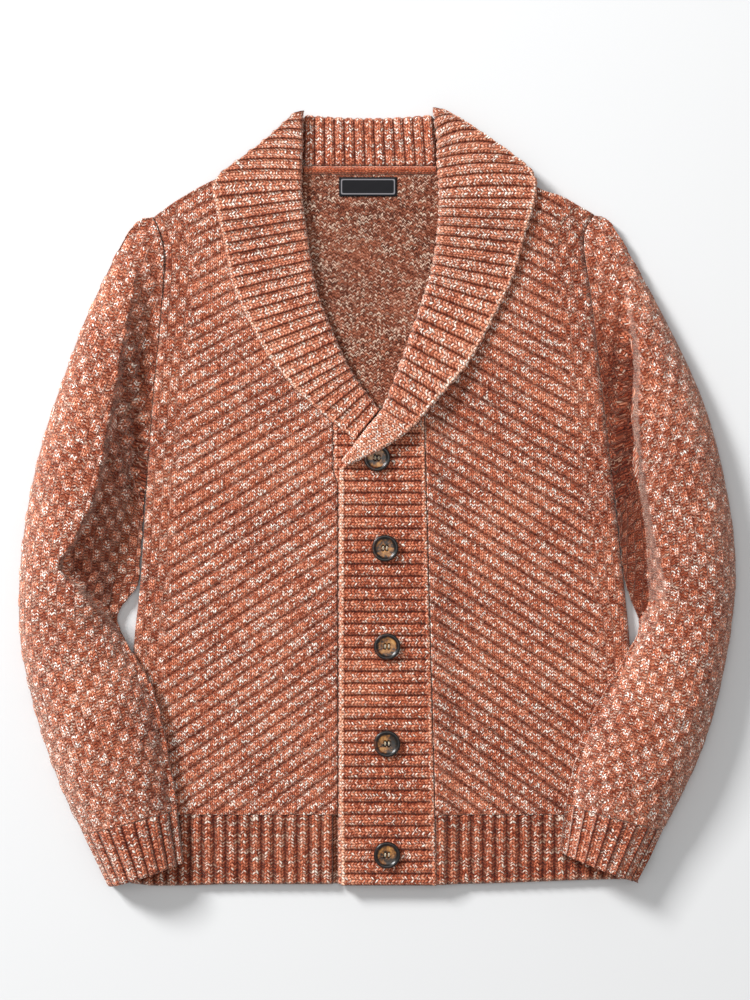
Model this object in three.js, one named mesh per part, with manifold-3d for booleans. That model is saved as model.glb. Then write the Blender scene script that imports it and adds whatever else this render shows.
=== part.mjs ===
// Shawl collar cardigan in chunky marled knit, laid out flat on its back with the buttons fastened.
// Millimetres. +Z is up off the surface, +X the viewer's right and +Y runs towards the collar.
// The origin lies on the surface, under the middle of the garment's outline.
// Left and right are the viewer's. The left front lies under and the right front over.

import * as THREE from "three";
import { mergeVertices } from "three/addons/utils/BufferGeometryUtils.js";
import Module from "manifold-3d";

const wasm = await Module();
wasm.setup();

// Fabric and layers

const SEAM_GAP = 0.3;
const BACK_WALL = 4.0;
const WALL = 3.4; // fabric at the bottom of a groove
const RIB = 1.4; // a rib's height over its groove
const SLEEVE_WALL = 4.0;
const PROUD = WALL + RIB;

const BUTTON = { diameter: 24, thickness: 3.8, rimWidth: 3.4, dish: 1.5, holeRadius: 1.3, holeSpread: 2.4 };

const LEVEL_1 = BACK_WALL + SEAM_GAP;
const LEVEL_2 = LEVEL_1 + PROUD + SEAM_GAP;
const FALL_LEVEL = LEVEL_2 + SEAM_GAP;
const BUTTON_LEVEL = LEVEL_2 + PROUD + SEAM_GAP;
const FLAP_LEVEL = BUTTON_LEVEL + BUTTON.thickness + SEAM_GAP;

// Heights of the main lines of the garment, along Y

const HEM_TOP = -285.8;
const BACK_NECK = 290.7;
const COLLAR_FALL_EDGE = 263;
const SHOULDER_LIFT_FOOT = 215;
const COLLAR_PLATEAU = 147; // half width of the collar's back fall under the shoulders
const COLLAR_LIFT_FOOT = 195;
const COLLAR_FOLD = 344.6; // where the collar's back is folded down, at the very top
const COLLAR_STAND = 45; // height of the back stand above the neck seam

// The two front bands

const UNDER_BAND_LEFT = -39.6;
const UNDER_BAND_RIGHT = 43;
const UNDER_BAND_SLANT = 44; // height above which its right edge slants in under the collar
const BAND_EDGE = -32.4; // free edge of the button band, which lies on top
const BAND_SEAM = { x: 43.2, y: 56, lean: 0.0267 }; // its seam leans outwards down to the hem
const BAND_BOTTOM = -348.8;
const NECKLINE_RIBS = { first: 5.9, lastLeft: 27, lastRight: 24.3 }; // where a front meets its leaf
const CLIMB = { width: 27, fadeFrom: 85, fadeTo: 130 }; // the right front rising to that seam

// Knit relief

const DIAGONAL = { pitch: 13, lowSlope: 0.74, highSlope: 0.52, sideBand: 27, rightStart: 44 };
const HEM_RIB_PITCH = 10.8;
const BAND_RIB_PITCH = 10.8;
const COLLAR_BACK_RIBS = 13;
const CUFF_RIBS = 9;

// Sleeves: a flat underside and an arched top, fullest nearer the outer edge

const ARCH = { crownShare: 0.42, sideFullness: 2.5, topFullness: 0.55 };
const THINNEST_SLEEVE = 8.4; // two walls with a little air between
const SLEEVE_EDGE = SLEEVE_WALL + 0.65;
const LEAN_ON_BODY = { from: 7, to: 22.5 }; // outside the body's edge a sleeve sinks to the surface
const FOREARM = { top: -100, bottom: -150 }; // heights between which the forearm climbs onto the body
const ARMHOLE_GAP = 3 * SEAM_GAP;
const NET_PASSES = 12; // a panel's rows and columns cross after this many approaches

// Tables. Every row is one station of a piece, in millimetres.

const LEFT_SIDE = [
  { y: -349, x: -222.3 },
  { y: -236, x: -221.4 },
  { y: -138, x: -219.6 },
  { y: -75, x: -213.3 },
  { y: 11, x: -207.9 },
  { y: 97, x: -201.6 },
  { y: 152, x: -196.2 },
  { y: 217, x: -191.7 },
  { y: 236, x: -195.3 },
  { y: 252.5, x: -201.6 },
];

const RIGHT_SIDE = [
  { y: -346, x: 235.8 },
  { y: -236, x: 233.1 },
  { y: -128, x: 227.5 },
  { y: -54, x: 220 },
  { y: 22, x: 211.5 },
  { y: 108, x: 201.6 },
  { y: 182, x: 193.1 },
  { y: 222, x: 187 },
  { y: 240, x: 187.6 },
  { y: 255, x: 196.2 },
];

const LEFT_SHOULDER = [
  { x: -201.6, y: 252.5 },
  { x: -181.8, y: 266 },
  { x: -159.3, y: 278 },
  { x: -147, y: 284 },
  { x: -102, y: 305 },
];

const RIGHT_SHOULDER = [
  { x: 96, y: 305 },
  { x: 145, y: 277 },
  { x: 165, y: 271 },
  { x: 187, y: 259.7 },
  { x: 196.2, y: 255 },
];

// The free edge and the roll line of each collar leaf, counted in ribs from the back.
// low and high are the undersides of the stand and of the fall over the back panel.
const LEFT_LEAF = [
  { rib: 0, edgeX: -77, edgeY: 344.5, rollX: -65.5, rollY: 347.5, low: LEVEL_1, high: FALL_LEVEL },
  { rib: 3, edgeX: -103.5, edgeY: 321, rollX: -65.7, rollY: 321, low: LEVEL_1, high: FALL_LEVEL },
  { rib: 6, edgeX: -139.5, edgeY: 293, rollX: -66.6, rollY: 294, low: LEVEL_1, high: FALL_LEVEL },
  { rib: 7.2, edgeX: -148.5, edgeY: 280, rollX: -66.6, rollY: 283, low: LEVEL_1, high: FALL_LEVEL },
  { rib: 8.6, edgeX: -145.5, edgeY: 261.5, rollX: -66.4, rollY: 271, low: LEVEL_1, high: FALL_LEVEL },
  { rib: 11.6, edgeX: -139, edgeY: 232, rollX: -63, rollY: 245, low: LEVEL_1, high: FALL_LEVEL },
  { rib: 15.6, edgeX: -130.5, edgeY: 191, rollX: -57.6, rollY: 208.5, low: LEVEL_1, high: FALL_LEVEL },
  { rib: 18.6, edgeX: -117, edgeY: 161, rollX: -51.3, rollY: 180.5, low: LEVEL_1, high: FALL_LEVEL },
  { rib: 21.6, edgeX: -101, edgeY: 131, rollX: -41.4, rollY: 155.5, low: LEVEL_1, high: FALL_LEVEL },
  { rib: 24.6, edgeX: -77.4, edgeY: 101, rollX: -28.8, rollY: 126.5, low: LEVEL_1, high: FALL_LEVEL },
  { rib: 27.6, edgeX: -53, edgeY: 78, rollX: -17, rollY: 106, low: LEVEL_1, high: FALL_LEVEL },
  { rib: 31, edgeX: -20.5, edgeY: 51.5, rollX: 2.7, rollY: 79.5, low: LEVEL_1, high: FALL_LEVEL },
];

const RIGHT_LEAF = [
  { rib: 0, edgeX: 62, edgeY: 348, rollX: 50, rollY: 350.4, low: LEVEL_1, high: FALL_LEVEL },
  { rib: 3, edgeX: 92.7, edgeY: 329, rollX: 54, rollY: 321, low: LEVEL_1, high: FALL_LEVEL },
  { rib: 5, edgeX: 125, edgeY: 306, rollX: 54, rollY: 304, low: LEVEL_1, high: FALL_LEVEL },
  { rib: 7, edgeX: 141.5, edgeY: 289, rollX: 55, rollY: 286, low: LEVEL_1, high: FALL_LEVEL },
  { rib: 9, edgeX: 142, edgeY: 268, rollX: 56, rollY: 268, low: LEVEL_1, high: FALL_LEVEL },
  { rib: 12, edgeX: 134, edgeY: 239, rollX: 55, rollY: 244.5, low: LEVEL_1, high: FALL_LEVEL },
  { rib: 16, edgeX: 121.5, edgeY: 196, rollX: 50.4, rollY: 210, low: LEVEL_1, high: FALL_LEVEL },
  { rib: 19, edgeX: 104.5, edgeY: 161, rollX: 43.2, rollY: 184, low: LEVEL_1, high: FALL_LEVEL },
  { rib: 22, edgeX: 83.7, edgeY: 123, rollX: 31.5, rollY: 150, low: LEVEL_1, high: 11.8 },
  { rib: 24, edgeX: 66, edgeY: 101, rollX: 23, rollY: 126, low: LEVEL_1, high: 15.2 },
  { rib: 26, edgeX: 48, edgeY: 81, rollX: 14.5, rollY: 103, low: 7.6, high: 18 },
  { rib: 28, edgeX: 31.5, edgeY: 62.6, rollX: 4.8, rollY: 79.7, low: LEVEL_2, high: FLAP_LEVEL },
  { rib: 31, edgeX: 7.2, edgeY: 45.5, rollX: -9.9, rollY: 61, low: LEVEL_2, high: FLAP_LEVEL },
  { rib: 33, edgeX: -11, edgeY: 36, rollX: -21.5, rollY: 46, low: LEVEL_2, high: FLAP_LEVEL },
  { rib: 35, edgeX: -27, edgeY: 28.5, rollX: -31.6, rollY: 34, low: LEVEL_2, high: 15.4 },
];

// Cross sections of the sleeves from the armhole to the cuff seam: the ends of each section on the
// outer and the inner outline, and the height of its crown.
const LEFT_SLEEVE = [
  { at: 0, outerX: -202.3, outerY: 253, innerX: -207.8, innerY: 24.8, crown: 9.3 },
  { at: 1, outerX: -213.3, outerY: 250.7, innerX: -208.6, innerY: 15.8, crown: 14 },
  { at: 2, outerX: -225.9, outerY: 237, innerX: -209, innerY: 7.7, crown: 20 },
  { at: 3, outerX: -244.8, outerY: 200, innerX: -209.6, innerY: 0, crown: 27 },
  { at: 4, outerX: -265.5, outerY: 155, innerX: -210.2, innerY: -9, crown: 31 },
  { at: 5, outerX: -283.5, outerY: 106, innerX: -210.8, innerY: -18, crown: 34 },
  { at: 6, outerX: -298.8, outerY: 61, innerX: -211.6, innerY: -30, crown: 36 },
  { at: 7, outerX: -311.4, outerY: 11, innerX: -212.8, innerY: -45, crown: 37 },
  { at: 8, outerX: -319.5, outerY: -38, innerX: -214, innerY: -62, crown: 38 },
  { at: 9, outerX: -323, outerY: -83, innerX: -216, innerY: -79, crown: 38 },
  { at: 10, outerX: -321.8, outerY: -128, innerX: -234, innerY: -107, crown: 36 },
  { at: 11, outerX: -315, outerY: -166, innerX: -225, innerY: -133, crown: 38 },
  { at: 12, outerX: -305, outerY: -205, innerX: -204.3, innerY: -164, crown: 40 },
  { at: 13, outerX: -292.5, outerY: -242, innerX: -192.6, innerY: -202, crown: 40 },
  { at: 14, outerX: -279, outerY: -275, innerX: -185.4, innerY: -241, crown: 38 },
  { at: 15, outerX: -265.5, outerY: -302, innerX: -179.1, innerY: -279.5, crown: 34 },
];

const RIGHT_SLEEVE = [
  { at: 0, outerX: 197, outerY: 254.6, innerX: 212.2, innerY: 24.8, crown: 9.3 },
  { at: 1, outerX: 207.9, outerY: 250.7, innerX: 213.4, innerY: 15, crown: 14 },
  { at: 2, outerX: 217.8, outerY: 238, innerX: 214.4, innerY: 6, crown: 20 },
  { at: 3, outerX: 238.5, outerY: 200, innerX: 215.4, innerY: -4, crown: 27 },
  { at: 4, outerX: 261, outerY: 157, innerX: 216.4, innerY: -14, crown: 31 },
  { at: 5, outerX: 281.7, outerY: 115, innerX: 217.7, innerY: -26, crown: 34 },
  { at: 6, outerX: 297.9, outerY: 74, innerX: 219, innerY: -38, crown: 36 },
  { at: 7, outerX: 310.5, outerY: 27.5, innerX: 220.4, innerY: -50, crown: 37 },
  { at: 8, outerX: 320.4, outerY: -27, innerX: 222, innerY: -66, crown: 38 },
  { at: 9, outerX: 323, outerY: -74, innerX: 224.5, innerY: -88, crown: 38 },
  { at: 10, outerX: 320.4, outerY: -106, innerX: 231, innerY: -118, crown: 36 },
  { at: 11, outerX: 316, outerY: -137, innerX: 224, innerY: -141, crown: 38 },
  { at: 12, outerX: 305, outerY: -188, innerX: 206, innerY: -171.5, crown: 40 },
  { at: 13, outerX: 290.7, outerY: -232, innerX: 188, innerY: -205, crown: 40 },
  { at: 14, outerX: 272.7, outerY: -271, innerX: 177.3, innerY: -238, crown: 38 },
  { at: 15, outerX: 258.3, outerY: -298.4, innerX: 170, innerY: -275, crown: 34 },
];

const LEFT_CUFF_END = { outerX: -242, outerY: -350.5, innerX: -173.7, innerY: -328, crown: 31 };
const RIGHT_CUFF_END = { outerX: 233, outerY: -345, innerX: 164.7, innerY: -318.5, crown: 31 };

const BUTTON_PLACES = [
  { x: 0, y: 35.6 },
  { x: 7.2, y: -45.5 },
  { x: 9, y: -133.7 },
  { x: 9, y: -221 },
  { x: 9, y: -320.9 },
];

const LABEL = { left: -34.2, right: 18, bottom: 271, top: 288.5, thickness: 1 };
const BINDING = { left: -65.9, right: 53.3, bottom: 291, top: 299.3, height: 5.4 };

// Small tools

const mix = (a, b, t) => a + (b - a) * t;

function ease(from, to, value) {
  const t = Math.min(Math.max((value - from) / (to - from), 0), 1);
  return t * t * (3 - 2 * t);
}

// A smooth curve through one column of a table, read at a value of its key column.
function read(table, key, column, at) {
  const last = table.length - 1;
  const value = Math.min(Math.max(at, table[0][key]), table[last][key]);
  let i = 0;
  while (i < last - 1 && value > table[i + 1][key]) i += 1;
  const slope = (j) => {
    const before = table[Math.max(j - 1, 0)];
    const after = table[Math.min(j + 1, last)];
    return (after[column] - before[column]) / (after[key] - before[key]);
  };
  const span = table[i + 1][key] - table[i][key];
  const t = (value - table[i][key]) / span;
  const start = table[i][column];
  const end = table[i + 1][column];
  const rise = t * t * (3 - 2 * t);
  return mix(start, end, rise) + span * t * (1 - t) * ((1 - t) * slope(i) - t * slope(i + 1));
}

// Even steps from one value to another, both included.
function steps(from, to, count) {
  return Array.from({ length: count + 1 }, (_, i) => mix(from, to, i / count));
}

function solidFromGeometry(geometry) {
  const bare = new THREE.BufferGeometry();
  bare.setAttribute("position", geometry.getAttribute("position"));
  bare.setIndex(geometry.getIndex());
  const merged = mergeVertices(bare, 1e-4);
  const vertProperties = new Float32Array(merged.getAttribute("position").array);
  const triVerts = new Uint32Array(merged.getIndex().array);
  return new wasm.Manifold(new wasm.Mesh({ numProp: 3, vertProperties, triVerts }));
}

function geometryFromSolid(solid) {
  const mesh = solid.getMesh();
  const geometry = new THREE.BufferGeometry();
  geometry.setAttribute("position", new THREE.BufferAttribute(new Float32Array(mesh.vertProperties), 3));
  geometry.setIndex(new THREE.BufferAttribute(new Uint32Array(mesh.triVerts), 1));
  return geometry;
}

// A geometry from points and faces, turned so that its faces point out.
function closedGeometry(points, faces) {
  let volume = 0;
  for (const [a, b, c] of faces) {
    const [p, q, r] = [points[a], points[b], points[c]];
    volume += p[0] * (q[1] * r[2] - q[2] * r[1]);
    volume += p[1] * (q[2] * r[0] - q[0] * r[2]);
    volume += p[2] * (q[0] * r[1] - q[1] * r[0]);
  }
  const turned = volume < 0 ? faces.map(([a, b, c]) => [a, c, b]) : faces;
  const geometry = new THREE.BufferGeometry();
  geometry.setAttribute("position", new THREE.Float32BufferAttribute(points.flat(), 3));
  geometry.setIndex(turned.flat());
  return geometry;
}

// Joins rows of closed loops with quads. Row i's points start at i times the loop's length.
function loopFaces(rowCount, loopLength, firstPoint, flipped) {
  const faces = [];
  for (let i = 0; i + 1 < rowCount; i += 1) {
    for (let j = 0; j < loopLength; j += 1) {
      const next = (j + 1) % loopLength;
      const a = firstPoint + i * loopLength + j;
      const b = firstPoint + i * loopLength + next;
      const c = b + loopLength;
      const d = a + loopLength;
      if (flipped) faces.push([a, c, b], [a, d, c]);
      else faces.push([a, b, c], [a, c, d]);
    }
  }
  return faces;
}

// A solid bar: closed sections, each a list of [across, height] pairs of equal length, and
// place(row, across, height) that puts a pair in the garment. Both ends are capped.
function bar(sections, place) {
  const loopLength = sections[0].length;
  const points = sections.flatMap((section, row) => section.map(([s, z]) => place(row, s, z)));
  const faces = loopFaces(sections.length, loopLength, 0, false);
  const cap = (section, first, reversed) => {
    const contour = section.map(([s, z]) => new THREE.Vector2(s, z));
    const turning = THREE.ShapeUtils.area(contour) > 0 ? 1 : -1;
    for (const [a, b, c] of THREE.ShapeUtils.triangulateShape(contour, [])) {
      const winding = THREE.ShapeUtils.area([contour[a], contour[b], contour[c]]) * turning;
      const along = winding > 0 !== reversed;
      faces.push(along ? [first + a, first + b, first + c] : [first + a, first + c, first + b]);
    }
  };
  cap(sections[0], 0, true);
  cap(sections[sections.length - 1], (sections.length - 1) * loopLength, false);
  return closedGeometry(points, faces);
}

// A wall between two nets of points, each a list of rows of equal length, closed on all its edges.
function wall(underRows, overRows) {
  const width = underRows[0].length;
  const loopLength = width * 2;
  const points = underRows.flatMap((row, i) => [...row, ...overRows[i].toReversed()]);
  const faces = loopFaces(underRows.length, loopLength, 0, false);
  const cap = (first, reversed) => {
    for (let j = 0; j + 1 < width; j += 1) {
      const a = first + j;
      const b = first + j + 1;
      const c = first + loopLength - 2 - j;
      const d = first + loopLength - 1 - j;
      if (reversed) faces.push([a, c, b], [a, d, c]);
      else faces.push([a, b, c], [a, c, d]);
    }
  };
  cap(0, true);
  cap((underRows.length - 1) * loopLength, false);
  return closedGeometry(points, faces);
}

// A panel: a net of rows and columns, with an underside and a top, cut to an outline.
// rowY(row, x) and columnX(column, y) are its lines; they cross after a few steps.
function panel({ outline, rows, columns, rowY, columnX, under, over }) {
  const net = rows.map((row) =>
    columns.map((column) => {
      let x = columnX(column, 0);
      let y = rowY(row, x);
      for (let i = 0; i < NET_PASSES; i += 1) {
        x = columnX(column, y);
        y = rowY(row, x);
      }
      return [x, y];
    })
  );
  const raisedNet = (height) =>
    net.map((points, i) => points.map(([x, y], j) => [x, y, height(x, y, rows[i], columns[j])]));
  const slab = solidFromGeometry(wall(raisedNet(under), raisedNet(over)));
  const shape = new THREE.Shape(outline.map(([x, y]) => new THREE.Vector2(x, y)));
  const cutter = new THREE.ExtrudeGeometry(shape, { depth: 60, bevelEnabled: false, steps: 1 });
  cutter.translate(0, 0, -5);
  const cut = slab.intersect(solidFromGeometry(cutter)).simplify(0.04);
  return geometryFromSolid(cut);
}

// The garment's own curves

const leftSideX = (y) => read(LEFT_SIDE, "y", "x", y);
const rightSideX = (y) => read(RIGHT_SIDE, "y", "x", y);

// How far the shoulders and the neck are lifted by the collar's back fall, which lies under them.
function lift(x, y) {
  const byHeight = ease(SHOULDER_LIFT_FOOT, COLLAR_FALL_EDGE, y);
  const bySide = ease(COLLAR_LIFT_FOOT, COLLAR_PLATEAU, Math.abs(x));
  return (BACK_WALL + 2 * SEAM_GAP) * byHeight * bySide;
}

const bandSeamX = (y) => BAND_SEAM.x + (BAND_SEAM.y - y) * BAND_SEAM.lean;
const bandEdgeX = (y) => BAND_EDGE + 1.8 * ease(-270, -348, y);

// The right front climbs from the back panel's level to the button band's along their seam.
function climb(x, y) {
  const foot = bandSeamX(y) + 1;
  const nearBand = 1 - ease(foot, foot + CLIMB.width, x);
  const belowCollar = 1 - ease(CLIMB.fadeFrom, CLIMB.fadeTo, y);
  return (LEVEL_2 - LEVEL_1) * nearBand * belowCollar;
}

const leafEdge = (leaf, rib) => [read(leaf, "rib", "edgeX", rib), read(leaf, "rib", "edgeY", rib)];
const leafRoll = (leaf, rib) => [read(leaf, "rib", "rollX", rib), read(leaf, "rib", "rollY", rib)];

// The seam of the collar on the neckline runs under the middle of its leaf.
function neckSeam(leaf, rib) {
  const [edgeX, edgeY] = leafEdge(leaf, rib);
  const [rollX, rollY] = leafRoll(leaf, rib);
  return [mix(rollX, edgeX, 0.5), mix(rollY, edgeY, 0.5)];
}

// The seam's x at a height, or null above and below it.
function neckSeamX(leaf, firstRib, lastRib, y) {
  const points = steps(firstRib, lastRib, 40).map((rib) => neckSeam(leaf, rib));
  const i = points.findIndex((point, n) => n > 0 && point[1] <= y && points[n - 1][1] >= y);
  if (i < 0) return null;
  const t = (y - points[i - 1][1]) / (points[i][1] - points[i - 1][1]);
  return mix(points[i - 1][0], points[i][0], t);
}

// The hem's lower edge rises a little towards the right and at the left corner.
function hemBottomY(x) {
  const rightRise = 4.6 * ease(60, 235, x);
  const leftDip = 1.4 * ease(-120, -190, x);
  const leftCorner = 2 * ease(-200, -222, x);
  return -348.6 + rightRise - leftDip + leftCorner;
}

// Panels

// A body side from its top corner to the hem, close together where it follows the armhole.
function sideLine(side, top) {
  const armhole = [247, 242, 236, 229, 217, 200, 175, 152];
  const flank = [97, 50, 11, -30, -75, -138, -210, HEM_TOP];
  return [top, ...armhole, ...flank].map((y) => [side(y), y]);
}

const shoulderLine = (table, count) =>
  steps(table[0].x, table[table.length - 1].x, count).map((x) => [x, read(table, "x", "y", x)]);

function backPanel() {
  const foot = [...steps(SHOULDER_LIFT_FOOT, COLLAR_FALL_EDGE, 7)];
  const flank = steps(COLLAR_PLATEAU, COLLAR_LIFT_FOOT, 6);
  const neck = [
    [83, 297],
    [60, BACK_NECK],
    [-72, BACK_NECK],
    [-88, 298],
  ];
  return panel({
    outline: [
      ...sideLine(leftSideX, 252),
      ...sideLine(rightSideX, 254.5).reverse(),
      ...shoulderLine(RIGHT_SHOULDER, 6).reverse(),
      ...neck,
      ...shoulderLine(LEFT_SHOULDER, 6).reverse().slice(0, -1),
    ],
    rows: [-300, ...foot, 320],
    columns: [-250, ...flank.map((x) => -x).reverse(), ...flank, 250],
    rowY: (row) => row,
    columnX: (column) => column,
    under: (x, y) => lift(x, y),
    over: (x, y) => lift(x, y) + BACK_WALL,
  });
}

// The diagonal ribs of a front: row r is half a rib, and its line falls away from the band.
function diagonalRowY(side, row) {
  const share = Math.min(Math.max(row / 80, 0), 1);
  const slope = mix(DIAGONAL.lowSlope, DIAGONAL.highSlope, share);
  return (x) => HEM_TOP + (row * DIAGONAL.pitch) / 2 + slope * (side < 0 ? x - UNDER_BAND_LEFT : DIAGONAL.rightStart - x);
}

function frontPanel(side) {
  const left = side < 0;
  const leaf = left ? LEFT_LEAF : RIGHT_LEAF;
  const sideX = left ? leftSideX : rightSideX;
  const shoulder = left ? shoulderLine(LEFT_SHOULDER, 6) : shoulderLine(RIGHT_SHOULDER, 6).reverse();
  const seamX = left ? () => UNDER_BAND_LEFT - SEAM_GAP : (y) => bandSeamX(y) + SEAM_GAP;
  const lastRib = left ? NECKLINE_RIBS.lastLeft : NECKLINE_RIBS.lastRight;
  const neckline = steps(NECKLINE_RIBS.first, lastRib, 24).map((rib) => {
    const [x, y] = neckSeam(leaf, rib);
    return [x + side * 1.4 * SEAM_GAP, y];
  });
  const bandTop = neckline[neckline.length - 1][1] - 3;
  const outline = [
    ...sideLine(sideX, left ? 252 : 254.5).reverse(),
    ...shoulder.filter(([x]) => Math.abs(x) > Math.abs(neckline[0][0]) + 2).slice(1),
    ...neckline,
    ...steps(bandTop, HEM_TOP, 4).map((y) => [seamX(y), y]),
  ];
  // Columns from the side to the band. Those under 100 are distances from the side edge, and the
  // rest are shares of the way to the last one, which lies just past the band's seam.
  const nearSide = [-12, 1, 9, 17, DIAGONAL.sideBand - 3, DIAGONAL.sideBand + 3, 39, 47, 56, 66, 78, 90];
  const columns = left ? [...nearSide, 200] : [...nearSide, 163, 172, 180, 196];
  const lastColumn = columns[columns.length - 1];
  const columnX = (column, y) => {
    const edge = sideX(y);
    if (column < 100) return edge - side * column;
    return mix(edge, left ? UNDER_BAND_LEFT + 9 : bandSeamX(y) - 6, column / lastColumn);
  };
  const relief = (column, row) => {
    const strength = column < DIAGONAL.sideBand ? 0.3 : 1;
    return RIB * (row % 2 === 0 ? 0 : strength);
  };
  const bottom = (x, y) => LEVEL_1 + 1.02 * lift(x, y) + (left ? 0 : climb(x, y));
  return panel({
    outline,
    rows: steps(-30, 112, 142),
    columns,
    rowY: (row, x) => diagonalRowY(side, row)(x),
    columnX,
    under: bottom,
    over: (x, y, row, column) => bottom(x, y) + WALL + relief(column, row),
  });
}

// Ribbed strips

// A strip of upright ribs along X, such as a hem: half a rib a step.
function hemRib(fromX, toX, level, ribbed, rise) {
  const ribs = Math.round((toX - fromX) / HEM_RIB_PITCH);
  const stations = ribbed ? steps(fromX, toX, ribs * 2) : steps(fromX, toX, 12);
  const top = HEM_TOP - SEAM_GAP;
  const sections = stations.map((x, i) => {
    const bottom = hemBottomY(x);
    const z = level + rise(x);
    const wall = ribbed ? WALL : BACK_WALL;
    const crest = z + wall + (ribbed && i % 2 === 1 ? RIB : 0);
    const roll = ribbed ? z + WALL + RIB * 0.7 : z + wall;
    return [
      [top, z],
      [top, crest],
      [bottom + 5, crest],
      [bottom + 3, roll],
      [bottom, z + wall * 0.6],
      [bottom + 0.6, z],
    ];
  });
  return bar(sections, (row, y, z) => [stations[row], y, z]);
}

// A strip of level ribs along Y, such as a button band: half a rib a step.
function frontBand({ fromY, toY, ribFromY, leftX, rightX, level, welt }) {
  const ribs = Math.round((toY - ribFromY) / BAND_RIB_PITCH);
  const plain = ribFromY > fromY ? steps(fromY, ribFromY, 6).slice(0, -1) : [];
  const stations = [...plain, ...steps(ribFromY, toY, ribs * 2)];
  const sections = stations.map((y, i) => {
    const ribbed = i >= plain.length && (i - plain.length) % 2 === 1;
    const crest = level + WALL + (ribbed ? RIB : 0);
    const rim = level + WALL + RIB * welt;
    const a = leftX(y);
    const b = rightX(y);
    const rimWidth = Math.min(3.5, (b - a) * 0.25);
    return [
      [a, level + 0.8],
      [a + 0.4, level + WALL],
      [a + rimWidth, crest],
      [b - rimWidth, crest],
      [b - 0.3, rim],
      [b, level + 0.5],
      [b - 0.5, level],
      [a + 0.6, level],
    ];
  });
  return bar(sections, (row, x, z) => [x, stations[row], z]);
}

function buttonBand() {
  const topRib = 25.2;
  const [, topY] = neckSeam(RIGHT_LEAF, topRib);
  return frontBand({
    fromY: BAND_BOTTOM,
    ribFromY: BAND_BOTTOM,
    toY: topY,
    leftX: (y) => {
      const [endX, endY] = neckSeam(RIGHT_LEAF, 35);
      if (y < endY) return mix(endX + 1.5, bandEdgeX(y), ease(endY, endY - 6, y));
      return neckSeamX(RIGHT_LEAF, topRib - 0.5, 35, y) + 1.5;
    },
    rightX: (y) => bandSeamX(y) - SEAM_GAP,
    level: LEVEL_2,
    welt: 1.2,
  });
}

function underBand() {
  const [crossX, crossY] = neckSeam(LEFT_LEAF, 31);
  return frontBand({
    fromY: BAND_BOTTOM + 0.8,
    ribFromY: -10,
    toY: 90,
    leftX: () => UNDER_BAND_LEFT,
    rightX: (y) => {
      if (y < UNDER_BAND_SLANT) return UNDER_BAND_RIGHT;
      const share = (y - UNDER_BAND_SLANT) / (crossY - UNDER_BAND_SLANT);
      if (y < crossY) return mix(UNDER_BAND_RIGHT, crossX - 1.5, share);
      return neckSeamX(LEFT_LEAF, 25, 31, y) - 1.5;
    },
    level: LEVEL_1,
    welt: 0.6,
  });
}

// Collar

// A leaf, folded outwards on its roll line. In each section the stand lies under, from the neck
// seam to the roll line, and the fall on top, from there to the free edge. Over the shoulder the
// free edge turns down over the edge of the garment.
function collarLeaf(leaf, lastRib) {
  const stations = steps(0, lastRib, lastRib * 2);
  const sections = stations.map((rib, i) => {
    const [edgeX, edgeY] = leafEdge(leaf, rib);
    const [rollX, rollY] = leafRoll(leaf, rib);
    const width = Math.hypot(edgeX - rollX, edgeY - rollY);
    const low = read(leaf, "rib", "low", rib);
    const high = read(leaf, "rib", "high", rib);
    const crest = high + WALL + (i % 2 === 1 ? RIB : 0);
    const middle = (low + high + WALL) / 2;
    const turnDown = (high - SEAM_GAP) * (1 - ease(4.6, 6, rib));
    const seam = width * 0.5 - SEAM_GAP;
    const foldInside = Math.min(WALL + 0.6, width * 0.4);
    const edgeWall = Math.min(WALL, width * 0.35);
    return [
      [seam, low],
      [seam, low + WALL],
      [foldInside, low + WALL],
      [foldInside, high],
      [width - edgeWall, high],
      [mix(width - 1, width - edgeWall + 0.3, Math.min(turnDown, 1)), high - turnDown],
      [width - 0.2, high - turnDown + 0.6],
      [width, high + WALL * 0.6],
      [width - Math.min(3.4, width * 0.3), crest],
      [Math.min(3.4, width * 0.3), crest - 0.5],
      [i % 2 === 1 ? 0 : 0.7, middle],
      [Math.min(3, width * 0.25), low],
    ];
  });
  return bar(sections, (row, s, z) => {
    const [edgeX, edgeY] = leafEdge(leaf, stations[row]);
    const [rollX, rollY] = leafRoll(leaf, stations[row]);
    const share = s / Math.hypot(edgeX - rollX, edgeY - rollY);
    const x = mix(rollX, edgeX, share);
    const y = mix(rollY, edgeY, share);
    return [x, y, z + lift(x, y)];
  });
}

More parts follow.
